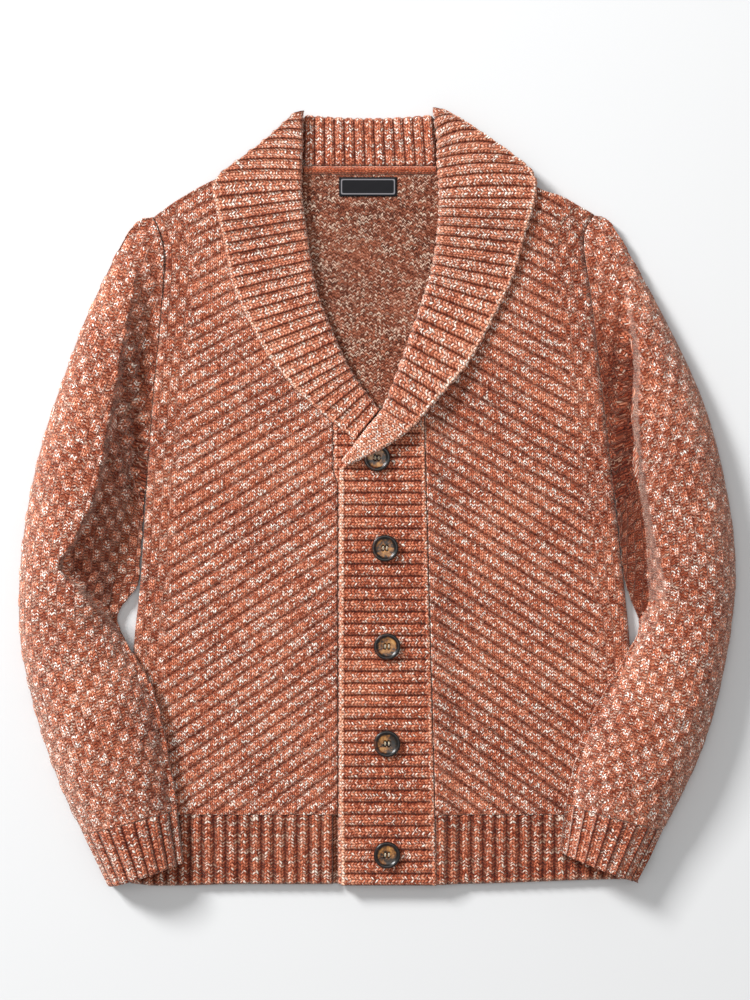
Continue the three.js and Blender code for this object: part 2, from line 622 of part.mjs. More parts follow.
// The back of the collar: its stand shows its inside behind the neck, and its fall is folded
// down behind the shoulders and spreads to the leaves' corners.
function collarBack() {
  const stations = steps(0, 1, COLLAR_BACK_RIBS * 2);
  const standLevel = BACK_WALL + 2 * SEAM_GAP;
  const standFoot = BINDING.top + SEAM_GAP;
  const foldEnds = { left: -65, right: 49.4 };
  const standEnds = { left: -65.2, right: 53 };
  const fallEnds = { left: -141, right: 137 };
  const sections = stations.map((share, i) => {
    const top = COLLAR_FOLD - 3 * Math.sin(Math.PI * share);
    const crest = standLevel + WALL + (i % 2 === 1 ? RIB : 0);
    return [
      [standFoot, standLevel],
      [standFoot, crest],
      [top - 4, crest],
      [top - 1, crest - 1.6],
      [i % 2 === 1 ? top : top - 0.7, standLevel],
      [top - 2, 0.7],
      [top - 4, 0],
      [COLLAR_FALL_EDGE + 1, 0],
      [COLLAR_FALL_EDGE, 1.5],
      [COLLAR_FALL_EDGE + 1, BACK_WALL],
      [top - 6, BACK_WALL],
      [top - 5, standLevel],
    ];
  });
  return bar(sections, (row, y, z) => {
    const share = stations[row];
    const down = COLLAR_FOLD - y;
    const foldX = mix(foldEnds.left, foldEnds.right, share);
    const standX = mix(standEnds.left, standEnds.right, share);
    const fallX = mix(fallEnds.left, fallEnds.right, share);
    if (z >= standLevel) return [mix(foldX, standX, down / COLLAR_STAND), y, z];
    return [mix(foldX, fallX, Math.max(0, down / (COLLAR_FOLD - COLLAR_FALL_EDGE))), y, z];
  });
}

function neckBinding() {
  const stations = steps(BINDING.left, BINDING.right, 6);
  const { bottom, top, height } = BINDING;
  const foot = BACK_WALL + 2 * SEAM_GAP;
  const profile = [
    [bottom, foot],
    [bottom, foot + height * 0.6],
    [mix(bottom, top, 0.3), foot + height],
    [mix(bottom, top, 0.7), foot + height],
    [top, foot + height * 0.6],
    [top, foot],
  ];
  return bar(stations.map(() => profile), (row, y, z) => [stations[row], y, z]);
}

function neckLabel() {
  const { left, right, bottom, top, thickness } = LABEL;
  const geometry = new THREE.BoxGeometry(right - left, top - bottom, thickness);
  const level = 2 * BACK_WALL + 3 * SEAM_GAP;
  return geometry.translate((left + right) / 2, (bottom + top) / 2, level + thickness / 2);
}

// Sleeves and cuffs

// The height a sleeve's underside rests at: the surface, or the body where it lies on that.
function restHeight(side, x, y) {
  const sideX = side < 0 ? leftSideX(y) : rightSideX(y);
  const outside = side * (x - sideX);
  const onBody = 1 - ease(LEAN_ON_BODY.from, LEAN_ON_BODY.to, outside);
  const forearm = 1 - ease(FOREARM.bottom, FOREARM.top, y);
  return (LEVEL_1 + PROUD + 2 * SEAM_GAP) * onBody * forearm;
}

// One cross section of a sleeve or cuff as a loop of points. Its ends lie on the outline, its
// underside is flat or follows the body, and its top is an arch, crowned nearer the outer end.
// inset moves the whole loop inwards by the wall. bow bends it to follow the armhole.
function ringLoop({ side, section, inset, topShares, bow, ribbed }) {
  const { outerX, outerY, innerX, innerY, crown } = section;
  const width = Math.hypot(outerX - innerX, outerY - innerY);
  const { crownShare, sideFullness, topFullness } = ARCH;
  const squash = 1 - (2 * inset) / width;
  const at = (share, height, fixed) => {
    const s = inset / width + share * squash;
    const [bowX, bowY] = bow(s);
    const x = mix(outerX, innerX, s) + bowX;
    const y = mix(outerY, innerY, s) + bowY;
    const rest = restHeight(side, x, y);
    return [x, y, fixed ? rest + height : Math.max(rest + THINNEST_SLEEVE - inset, height)];
  };
  const underShares = [0.965, 0.72, 0.55, 0.42, 0.28, 0.035];
  const over = topShares.map((share, i) => {
    const half = share < crownShare ? crownShare : 1 - crownShare;
    const off = Math.abs(share - crownShare) / half;
    const arch = (1 - off ** sideFullness) ** topFullness;
    const rib = ribbed && i % 2 === 1 && inset === 0 ? RIB * Math.min(1, arch * 1.6) : 0;
    return at(share, mix(SLEEVE_EDGE, crown, arch) - inset + rib, false);
  });
  return [
    at(0, SLEEVE_EDGE, true),
    ...over,
    at(1, SLEEVE_EDGE, true),
    ...underShares.map((share) => at(share, inset, true)),
  ];
}

// A sleeve or cuff parted into its upper and lower layer where it lies folded, along its two edges.
// The loops have topCount points between their ends over the top.
function twoLayers(outerRows, innerRows, topCount) {
  const upper = (loop) => loop.slice(0, topCount + 2);
  const lower = (loop) => {
    const [start, end] = [loop[0], loop[topCount + 1]].map(([x, y, z]) => [x, y, z - SEAM_GAP]);
    return [start, ...loop.slice(topCount + 2).reverse(), end];
  };
  return {
    upper: wall(innerRows.map(upper), outerRows.map(upper)),
    lower: wall(innerRows.map(lower), outerRows.map(lower)),
  };
}

function sectionAt(table, at) {
  const columns = ["outerX", "outerY", "innerX", "innerY", "crown"];
  return Object.fromEntries(columns.map((column) => [column, read(table, "at", column, at)]));
}

function sleeve(side) {
  const table = side < 0 ? LEFT_SLEEVE : RIGHT_SLEEVE;
  const sideX = side < 0 ? leftSideX : rightSideX;
  const upperArm = [0, 0.6, 1.3, 2.2, 3.2, 4.3, 5.5, 6.7, 8];
  const elbowAndForearm = [9, 9.6, ...steps(10, 15, 10)];
  const stations = [...upperArm, ...elbowAndForearm];
  const topShares = [0.015, 0.08, 0.22, 0.42, 0.62, 0.82, 0.95];
  const armhole = table[0];
  // How the armhole seam bends away from a straight line, fading out over the first sections.
  const bow = (at) => (s) => {
    const y = mix(armhole.outerY, armhole.innerY, s);
    const seamX = sideX(y) + side * ARMHOLE_GAP;
    const off = seamX - mix(armhole.outerX, armhole.innerX, s);
    return [off * (1 - ease(0, 3.4, at)), 0];
  };
  const rows = (inset) =>
    stations.map((at) =>
      ringLoop({ side, section: sectionAt(table, at), inset, topShares, bow: bow(at), ribbed: false })
    );
  return twoLayers(rows(0), rows(SLEEVE_WALL), topShares.length);
}

function cuff(side) {
  const table = side < 0 ? LEFT_SLEEVE : RIGHT_SLEEVE;
  const end = side < 0 ? LEFT_CUFF_END : RIGHT_CUFF_END;
  const seam = sectionAt(table, 15);
  const noBow = () => [0, 0];
  const topShares = steps(0.02, 0.98, CUFF_RIBS * 2);
  const between = (share) =>
    Object.fromEntries(Object.keys(seam).map((column) => [column, mix(seam[column], end[column], share)]));
  const loop = (share, inset, ribbed) =>
    ringLoop({ side, section: between(share), inset, topShares, bow: noBow, ribbed });
  const seamShare = 0.008; // the gap to the sleeve, as a share of the cuff's length
  const ribbedShares = [0.1, 0.5, 0.93];
  const rolledEdge = 0.7;
  const outer = [
    loop(seamShare, 0, false),
    ...ribbedShares.map((share) => loop(share, 0, true)),
    loop(1, rolledEdge, false),
  ];
  const inner = [seamShare, ...ribbedShares, 1].map((share) => loop(share, SLEEVE_WALL, false));
  return twoLayers(outer, inner, topShares.length);
}

// Buttons

function button() {
  const radius = BUTTON.diameter / 2;
  const { thickness, rimWidth, dish, holeRadius, holeSpread } = BUTTON;
  const profile = [
    [0, 0],
    [radius - 1.6, 0],
    [radius, thickness * 0.45],
    [radius - 0.7, thickness * 0.9],
    [radius - rimWidth * 0.5, thickness],
    [radius - rimWidth, thickness - dish],
    [0, thickness - dish],
  ];
  const disc = new THREE.LatheGeometry(profile.map(([r, z]) => new THREE.Vector2(r, z)), 14);
  disc.rotateX(Math.PI / 2);
  let solid = solidFromGeometry(disc);
  for (const quarter of [0, 1, 2, 3]) {
    const turn = Math.PI / 4 + (quarter * Math.PI) / 2;
    const drill = new THREE.CylinderGeometry(holeRadius, holeRadius, thickness * 3, 6);
    drill.rotateX(Math.PI / 2);
    drill.translate(holeSpread * Math.cos(turn), holeSpread * Math.sin(turn), 0);
    solid = solid.subtract(solidFromGeometry(drill));
  }
  return geometryFromSolid(solid);
}

// Materials

const knit = (color) => new THREE.MeshStandardMaterial({ color, roughness: 0.92, metalness: 0 });
const rust = knit("#c07050");
const rustLight = knit("#c97a58");
const rustInside = knit("#8f4f38");
const rustPlain = knit("#b9603f");
const buttonFinish = new THREE.MeshStandardMaterial({ color: "#2c2119", roughness: 0.28, metalness: 0 });
const labelFinish = new THREE.MeshStandardMaterial({ color: "#191a22", roughness: 0.7, metalness: 0 });

// The garment

const group = new THREE.Group();

function add(name, geometry, material) {
  const mesh = new THREE.Mesh(geometry, material);
  mesh.name = name;
  group.add(mesh);
  return mesh;
}

const frontHemRise = (x) => climb(x, HEM_TOP);

add("back_panel", backPanel(), rustInside);
add("hem_rib_back", hemRib(-221.8, 235.2, 0, false, () => 0), rustInside);
add("front_left", frontPanel(-1), rust);
add("front_right", frontPanel(1), rust);
add("hem_rib_left", hemRib(-222, UNDER_BAND_LEFT - SEAM_GAP, LEVEL_1, true, () => 0), rust);
add("hem_rib_right", hemRib(bandSeamX(HEM_TOP) + 2.4, 235.4, LEVEL_1, true, frontHemRise), rust);
for (const [name, layers] of [
  ["sleeve_left", sleeve(-1)],
  ["sleeve_right", sleeve(1)],
  ["cuff_left", cuff(-1)],
  ["cuff_right", cuff(1)],
]) {
  add(name, layers.upper, rust);
  add(`${name}_under`, layers.lower, rust);
}
add("under_band", underBand(), rust);
add("button_band", buttonBand(), rust);
add("collar_left", collarLeaf(LEFT_LEAF, 31), rustLight);
add("collar_right", collarLeaf(RIGHT_LEAF, 35), rustLight);
add("collar_back", collarBack(), rust);
add("neck_binding", neckBinding(), rustPlain);
add("label", neckLabel(), labelFinish);
BUTTON_PLACES.forEach(({ x, y }, i) => {
  add(`button_${i + 1}`, button(), buttonFinish).position.set(x, y, BUTTON_LEVEL);
});

export default group;
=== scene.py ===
# Shawl collar cardigan in chunky marled knit, laid out flat: its knitted surfaces, finishes,
# light and camera. Shapes are worked out in millimetres, in the frame's own axes: +Z up off the
# surface, +Y towards the collar, +X the viewer's right. Left and right are the viewer's.

import math

import bpy
import numpy as np
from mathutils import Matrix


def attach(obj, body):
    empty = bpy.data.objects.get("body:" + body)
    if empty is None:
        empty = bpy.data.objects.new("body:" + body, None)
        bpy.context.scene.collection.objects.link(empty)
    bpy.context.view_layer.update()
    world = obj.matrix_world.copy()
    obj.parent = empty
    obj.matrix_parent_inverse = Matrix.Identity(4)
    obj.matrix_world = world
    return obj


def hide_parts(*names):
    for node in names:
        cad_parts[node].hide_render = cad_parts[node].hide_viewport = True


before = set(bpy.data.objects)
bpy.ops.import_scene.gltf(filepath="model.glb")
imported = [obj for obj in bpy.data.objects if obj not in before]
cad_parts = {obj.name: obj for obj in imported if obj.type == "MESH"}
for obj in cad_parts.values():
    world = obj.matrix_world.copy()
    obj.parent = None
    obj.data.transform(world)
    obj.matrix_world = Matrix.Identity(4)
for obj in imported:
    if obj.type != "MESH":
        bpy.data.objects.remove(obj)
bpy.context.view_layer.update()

MM = 0.001

# Fabric and layers

SEAM_GAP = 0.3
BACK_WALL = 4.0
WALL = 3.4  # fabric at the bottom of a groove
RIB = 1.4  # a rib's height over its groove
SLEEVE_WALL = 4.0
PROUD = WALL + RIB
BUTTON_THICKNESS = 3.8
LEVEL_1 = BACK_WALL + SEAM_GAP
LEVEL_2 = LEVEL_1 + PROUD + SEAM_GAP
FALL_LEVEL = LEVEL_2 + SEAM_GAP
BUTTON_LEVEL = LEVEL_2 + PROUD + SEAM_GAP
FLAP_LEVEL = BUTTON_LEVEL + BUTTON_THICKNESS + SEAM_GAP

# Main lines of the garment

HEM_TOP = -285.8
HEM_LEFT, HEM_RIGHT = -222, 235.4
BACK_HEM_INSET = 0.2
COLLAR_FALL_EDGE = 263
SHOULDER_LIFT_FOOT = 215
COLLAR_PLATEAU = 147
COLLAR_LIFT_FOOT = 195
COLLAR_FOLD = 344.6
COLLAR_STAND = 45
UNDER_BAND_LEFT = -39.6
UNDER_BAND_RIGHT = 43
BAND_EDGE = -32.4
BAND_BOTTOM = -348.8

# Stitches: a wale is a column of stitches and a course is a row of them

WALE = 3.7
COURSE = 3.0
BLOCK_WALES = 2
BLOCK_COURSES = 4
DIAGONAL_PITCH = 13
HEM_RIB_PITCH = 10.8
BAND_RIB_PITCH = 10.8
DIAGONAL_RIGHT = 44  # where the right front's diagonal ribs start
SIDE_BAND = 27
EDGE_CHAIN = 2.4  # from a band's free edge to its chain of edge stitches
EDGE_TROUGH = 5.4
SEAM_WELT = 1.9
CHAIN_REACH = 1.5
CHAIN_LINK = 4.2


def table(columns, *rows):
    """A short table as one array for each named column."""
    return dict(zip(columns.split(), np.array(rows, float).T))


LEFT_SIDE = table(
    "y x",
    (-349, -222.3), (-236, -221.4), (-138, -219.6), (-75, -213.3), (11, -207.9),
    (97, -201.6), (152, -196.2), (217, -191.7), (236, -195.3), (252.5, -201.6),
)
RIGHT_SIDE = table(
    "y x",
    (-346, 235.8), (-236, 233.1), (-128, 227.5), (-54, 220), (22, 211.5),
    (108, 201.6), (182, 193.1), (222, 187), (240, 187.6), (255, 196.2),
)
LEFT_SHOULDER = table("x y", (-201.6, 252.5), (-181.8, 266), (-159.3, 278), (-147, 284), (-102, 305))
RIGHT_SHOULDER = table("x y", (96, 305), (145, 277), (165, 271), (187, 259.7), (196.2, 255))

LEFT_LEAF = table(
    "rib edge_x edge_y roll_x roll_y low high",
    (0, -77, 344.5, -65.5, 347.5, LEVEL_1, FALL_LEVEL),
    (3, -103.5, 321, -65.7, 321, LEVEL_1, FALL_LEVEL),
    (6, -139.5, 293, -66.6, 294, LEVEL_1, FALL_LEVEL),
    (7.2, -148.5, 280, -66.6, 283, LEVEL_1, FALL_LEVEL),
    (8.6, -145.5, 261.5, -66.4, 271, LEVEL_1, FALL_LEVEL),
    (11.6, -139, 232, -63, 245, LEVEL_1, FALL_LEVEL),
    (15.6, -130.5, 191, -57.6, 208.5, LEVEL_1, FALL_LEVEL),
    (18.6, -117, 161, -51.3, 180.5, LEVEL_1, FALL_LEVEL),
    (21.6, -101, 131, -41.4, 155.5, LEVEL_1, FALL_LEVEL),
    (24.6, -77.4, 101, -28.8, 126.5, LEVEL_1, FALL_LEVEL),
    (27.6, -53, 78, -17, 106, LEVEL_1, FALL_LEVEL),
    (31, -20.5, 51.5, 2.7, 79.5, LEVEL_1, FALL_LEVEL),
)
RIGHT_LEAF = table(
    "rib edge_x edge_y roll_x roll_y low high",
    (0, 62, 348, 50, 350.4, LEVEL_1, FALL_LEVEL),
    (3, 92.7, 329, 54, 321, LEVEL_1, FALL_LEVEL),
    (5, 125, 306, 54, 304, LEVEL_1, FALL_LEVEL),
    (7, 141.5, 289, 55, 286, LEVEL_1, FALL_LEVEL),
    (9, 142, 268, 56, 268, LEVEL_1, FALL_LEVEL),
    (12, 134, 239, 55, 244.5, LEVEL_1, FALL_LEVEL),
    (16, 121.5, 196, 50.4, 210, LEVEL_1, FALL_LEVEL),
    (19, 104.5, 161, 43.2, 184, LEVEL_1, FALL_LEVEL),
    (22, 83.7, 123, 31.5, 150, LEVEL_1, 11.8),
    (24, 66, 101, 23, 126, LEVEL_1, 15.2),
    (26, 48, 81, 14.5, 103, 7.6, 18),
    (28, 31.5, 62.6, 4.8, 79.7, LEVEL_2, FLAP_LEVEL),
    (31, 7.2, 45.5, -9.9, 61, LEVEL_2, FLAP_LEVEL),
    (33, -11, 36, -21.5, 46, LEVEL_2, FLAP_LEVEL),
    (35, -27, 28.5, -31.6, 34, LEVEL_2, 15.4),
)
SECTION = ("outer_x", "outer_y", "inner_x", "inner_y", "crown")
SLEEVE_COLUMNS = " ".join(["at", *SECTION])
WRIST = 15  # a sleeve's last section
LEFT_SLEEVE = table(
    SLEEVE_COLUMNS,
    (0, -202.3, 253, -207.8, 24.8, 9.3),
    (1, -213.3, 250.7, -208.6, 15.8, 14),
    (2, -225.9, 237, -209, 7.7, 20),
    (3, -244.8, 200, -209.6, 0, 27),
    (4, -265.5, 155, -210.2, -9, 31),
    (5, -283.5, 106, -210.8, -18, 34),
    (6, -298.8, 61, -211.6, -30, 36),
    (7, -311.4, 11, -212.8, -45, 37),
    (8, -319.5, -38, -214, -62, 38),
    (9, -323, -83, -216, -79, 38),
    (10, -321.8, -128, -234, -107, 36),
    (11, -315, -166, -223.5, -133, 38),
    (12, -305, -205, -204.3, -164, 40),
    (13, -292.5, -242, -192.6, -202, 40),
    (14, -279, -275, -185.4, -241, 38),
    (15, -265.5, -302, -179.1, -279.5, 34),
)
RIGHT_SLEEVE = table(
    SLEEVE_COLUMNS,
    (0, 197, 254.6, 212.2, 24.8, 9.3),
    (1, 207.9, 250.7, 213.4, 15, 14),
    (2, 217.8, 238, 214.4, 6, 20),
    (3, 238.5, 200, 215.4, -4, 27),
    (4, 261, 157, 216.4, -14, 31),
    (5, 281.7, 115, 217.7, -26, 34),
    (6, 297.9, 74, 219, -38, 36),
    (7, 310.5, 27.5, 220.4, -50, 37),
    (8, 320.4, -27, 222, -66, 38),
    (9, 323, -74, 227.5, -88, 38),
    (10, 320.4, -106, 236.5, -115, 36),
    (11, 316, -137, 224, -141, 38),
    (12, 305, -188, 206, -171.5, 40),
    (13, 290.7, -232, 188, -205, 40),
    (14, 272.7, -271, 177.3, -238, 38),
    (15, 258.3, -298.4, 170, -275, 34),
)
CUFF_END = {
    -1: dict(outer_x=-242, outer_y=-350.5, inner_x=-173.7, inner_y=-328, crown=31),
    1: dict(outer_x=233, outer_y=-345, inner_x=164.7, inner_y=-318.5, crown=31),
}
CUFF_RIBS = 9
ARCH = dict(crown_share=0.42, side_fullness=2.5, top_fullness=0.55)
SLEEVE_EDGE = SLEEVE_WALL + 0.65
THINNEST_SLEEVE = 8.4
CORNER_STEPS = 4  # round each lower corner of a sleeve, with the places below between them
UNDER_SHARES = (0.72, 0.55, 0.42, 0.28)
UNDER_POINTS = 2 * CORNER_STEPS + len(UNDER_SHARES) + 1
INSIDE_EVERY = 12  # steps of a sleeve's top to one of its inside
INSIDE_ROWS_EVERY = 8  # and rings of a sleeve's outside to one of its inside
BUTTON_PLACES = [(0, 35.6), (7.2, -45.5), (9, -133.7), (9, -221), (9, -320.9)]
LABEL = dict(left=-34.2, right=18, bottom=271, top=288.5, thickness=1)
BINDING = dict(left=-65.9, right=53.3, bottom=291, top=299.3, height=5.4)

# Creases of each sleeve, from one point to another: depth is how far they sink, and a ridge's is
# negative. reach is their half width.
CREASES = {
    -1: table(
        "x0 y0 x1 y1 depth reach",
        (-282, -78, -228, -134, -2.0, 8),
        (-232, -122, -262, -146, -1.6, 9),
        (-226, -60, -262, -50, 1.6, 10),
        (-298, -150, -262, -168, 1.0, 11),
        (-246, 150, -228, 60, 1.4, 12),
        (-222, 190, -214, 90, -1.0, 8),
        (-214, -190, -232, -225, 1.3, 9),
        (-262, -262, -232, -284, 0.9, 9),
    ),
    1: table(
        "x0 y0 x1 y1 depth reach",
        (264, -100, 224, -146, -2.0, 8),
        (258, 20, 250, 130, -1.6, 9),
        (226, -140, 256, -160, -1.5, 9),
        (296, -150, 262, -176, 1.0, 11),
        (206, -196, 230, -232, 1.3, 9),
        (256, -262, 226, -280, 0.9, 9),
        (300, 10, 276, -20, 0.9, 12),
    ),
}
# Soft swells and hollows of the two fronts, as above.
FRONT_CREASES = {
    -1: table(
        "x0 y0 x1 y1 depth reach",
        (-186, 150, -120, 60, 0.5, 14),
        (-196, 20, -140, -60, 0.45, 16),
        (-120, -120, -60, -180, -0.5, 20),
        (-190, -210, -120, -250, 0.45, 15),
        (-100, 20, -55, 60, -0.5, 16),
    ),
    1: table(
        "x0 y0 x1 y1 depth reach",
        (180, 170, 110, 60, 0.5, 15),
        (204, 40, 160, -50, 0.5, 15),
        (90, -80, 150, -150, -0.5, 20),
        (70, -200, 130, -250, 0.45, 14),
        (70, 60, 110, 20, -0.5, 16),
    ),
}

# The fold at each elbow: the forearm's top edge, which lies over the upper arm, and the valley up
# the upper arm, inside which its cloth sinks. Points run from the outer end to the inner one.
ELBOW_EDGE = {
    -1: table("x y", (-296, -52), (-286, -62), (-264.5, -81), (-237, -112), (-220, -139), (-210, -155)),
    1: table("x y", (262, -88), (252, -94), (240, -106), (228, -122), (220, -138), (212, -152)),
}
VALLEY = {
    -1: table("y x", (-90, -276), (-60, -282), (-36, -268), (0, -252), (60, -240), (130, -228), (200, -216)),
    1: table("y x", (-108, 262), (-80, 258), (-40, 248), (20, 238), (75, 233), (130, 234), (200, 222)),
}
FOLD_STEP = {-1: 9, 1: 25}  # how far the cloth sinks just inside the valley
FOLD_SLOPE = {-1: 18, 1: 6}  # and how much further over FOLD_RUN, towards the body
FOLD_RUN = 48
# How much the cloth's colour is painted darker in the recess inside each elbow fold: painted shade.
FOLD_PAINTED_SHADE = {-1: 0.45, 1: 0.78}
FOLDED_SLEEVE = 6.4


def mix(a, b, t):
    """The value a share t of the way from a to b."""
    return a + (b - a) * t


def ease(start, end, value):
    """0 before start, 1 after end, and 3t² - 2t³ between them."""
    t = np.clip((value - start) / (end - start), 0, 1)
    return t * t * (3 - 2 * t)


def read(rows, key, column, at):
    """A smooth curve through a table's column: cubic between two rows, with each row's slope that
    of the line through its neighbours."""
    keys, values = rows[key], rows[column]
    last = len(keys) - 1
    row = np.arange(last + 1)
    before, after = np.maximum(row - 1, 0), np.minimum(row + 1, last)
    slopes = (values[after] - values[before]) / (keys[after] - keys[before])
    at = np.clip(at, keys[0], keys[-1])
    i = np.clip(np.searchsorted(keys, at, side="left") - 1, 0, last - 1)
    span = keys[i + 1] - keys[i]
    t = (at - keys[i]) / span
    line = mix(values[i], values[i + 1], t * t * (3 - 2 * t))
    return line + span * t * (1 - t) * ((1 - t) * slopes[i] - t * slopes[i + 1])


def scatter(i, j, seed):
    """A fixed number from 0 to 1 for each pair of whole numbers: the fraction of a large sine."""
    value = np.sin(np.floor(i) * 12.9898 + np.floor(j) * 78.233 + seed * 37.719) * 43758.5453
    return value - np.floor(value)


def fraction(value):
    return value - np.floor(value)


def bell(distance, reach):
    """1 at no distance, falling off as exp(-(distance / reach)²)."""
    return np.exp(-((distance / reach) ** 2))


def hump(value):
    """|sin(πx)|: a hump between each two whole numbers."""
    return np.abs(np.sin(math.pi * value))


def side_x(side, y):
    rows = LEFT_SIDE if side < 0 else RIGHT_SIDE
    return read(rows, "y", "x", y)


def lift(x, y):
    """How far the collar's back fall, which lies under the shoulders, lifts what lies on it."""
    by_height = ease(SHOULDER_LIFT_FOOT, COLLAR_FALL_EDGE, y)
    by_side = ease(COLLAR_LIFT_FOOT, COLLAR_PLATEAU, np.abs(x))
    return (BACK_WALL + 2 * SEAM_GAP) * by_height * by_side


def band_seam_x(y):
    return 43.2 + (56 - y) * 0.0267


def climb(x, y):
    """The right front rising from the back panel's level to the button band's, near their seam."""
    foot = band_seam_x(y) + 1
    return (LEVEL_2 - LEVEL_1) * (1 - ease(foot, foot + 27, x)) * (1 - ease(85, 130, y))


def hem_bottom_y(x):
    right_rise = 4.6 * ease(60, 235, x)
    left_dip = 1.4 * ease(-120, -190, x)
    return -348.6 + right_rise - left_dip + 2 * ease(-200, -222, x)


def leaf_seam(leaf, rib):
    """The neck seam under the middle of a collar leaf."""
    x = (read(leaf, "rib", "edge_x", rib) + read(leaf, "rib", "roll_x", rib)) / 2
    y = (read(leaf, "rib", "edge_y", rib) + read(leaf, "rib", "roll_y", rib)) / 2
    return x, y


def leaf_seam_x(leaf, first_rib, last_rib, y):
    """The neck seam's x at a height."""
    x, seam_y = leaf_seam(leaf, np.linspace(first_rib, last_rib, 60))
    return np.interp(-y, -seam_y, x)


def sunk(creases, x, y):
    """How far creases sink a point: each has depth · exp(-(distance / reach)²) round its line."""
    total = np.zeros(np.broadcast(x, y).shape)
    for x0, y0, x1, y1, depth, reach in zip(*creases.values()):
        dx, dy = x1 - x0, y1 - y0
        t = np.clip(((x - x0) * dx + (y - y0) * dy) / (dx * dx + dy * dy), 0, 1)
        off = np.hypot(x - x0 - t * dx, y - y0 - t * dy)
        total += depth * bell(off, reach) * (0.55 + 0.45 * np.sin(math.pi * t))
    return total


def folded(side, x, y):
    """How far the upper arm's inner part sinks: a step beside the valley, then an even slope
    towards the body, and at the forearm's edge nothing, over 2.5 mm. It fades out towards the
    shoulder. Also how much painted shade the fold gets there, from 0 to 1: a share by which the
    cloth's colour is painted darker in the recess."""
    edge = ELBOW_EDGE[side]
    order = np.argsort(edge["x"])
    edge_y = np.interp(x, edge["x"][order], edge["y"][order])
    above = ease(-1.2, 1.3, y - edge_y)
    valley_x = read(VALLEY[side], "y", "x", y)
    inner = side * (valley_x - x)
    within = ease(-1, 4, inner)
    deep = FOLD_STEP[side] * within + FOLD_SLOPE[side] * np.clip(inner / FOLD_RUN, 0, 1)
    fade = 1 - ease(90, 235, y)
    outer_end = ease(0, 22, side * (edge["x"][0] - x))
    hidden = above * fade * outer_end
    return deep * hidden, ease(-2.5, 0.5, inner) * hidden


# Knit relief: each function gives a height from 0 in a groove to 1 on a crest


def rib_wave(ribs, groove=0.19):
    """Two-stitch ribs: a broad crest with a shallow dip between its stitches and a narrow groove
    at each whole number, 1 - exp(-(d / groove)²) for a distance d from it."""
    t = fraction(ribs)
    from_groove = np.minimum(t, 1 - t)
    crest = 1 - bell(from_groove, groove)
    return crest * (1 - 0.16 * bell(t - 0.5, 0.09))


def stitch_wave(wales, courses):
    """Stitches of two slanting legs each: |sin| along the courses, which rise away from the middle
    of the wale, times a hump across each leg."""
    from_middle = np.abs(fraction(wales) - 0.5)
    along = hump(courses - 1.3 * from_middle)
    across = np.sqrt(hump(2 * from_middle))
    return along ** 0.6 * (0.4 + 0.6 * across)


def basket_wave(wales, courses):
    """A chequer of raised knit blocks and sunk purl blocks, and which is purl, from 0 to 1."""
    column, row = wales / BLOCK_WALES, courses / BLOCK_COURSES
    purl = np.mod(np.floor(column) + np.floor(row), 2)
    across = hump(column) ** 0.45
    along = hump(row) ** 0.4
    knit = 0.55 + 0.45 * across * along
    bars = 0.22 + 0.34 * hump(courses) * along
    edge = np.minimum(1, hump(column) * 4)
    return mix(knit, bars, purl) * (0.6 + 0.4 * edge), purl


def ribbed_knit(ribs, stitches):
    """Ribs with their stitches on them."""
    return rib_wave(ribs) * (0.86 + 0.14 * stitch_wave(*stitches))


# Meshes


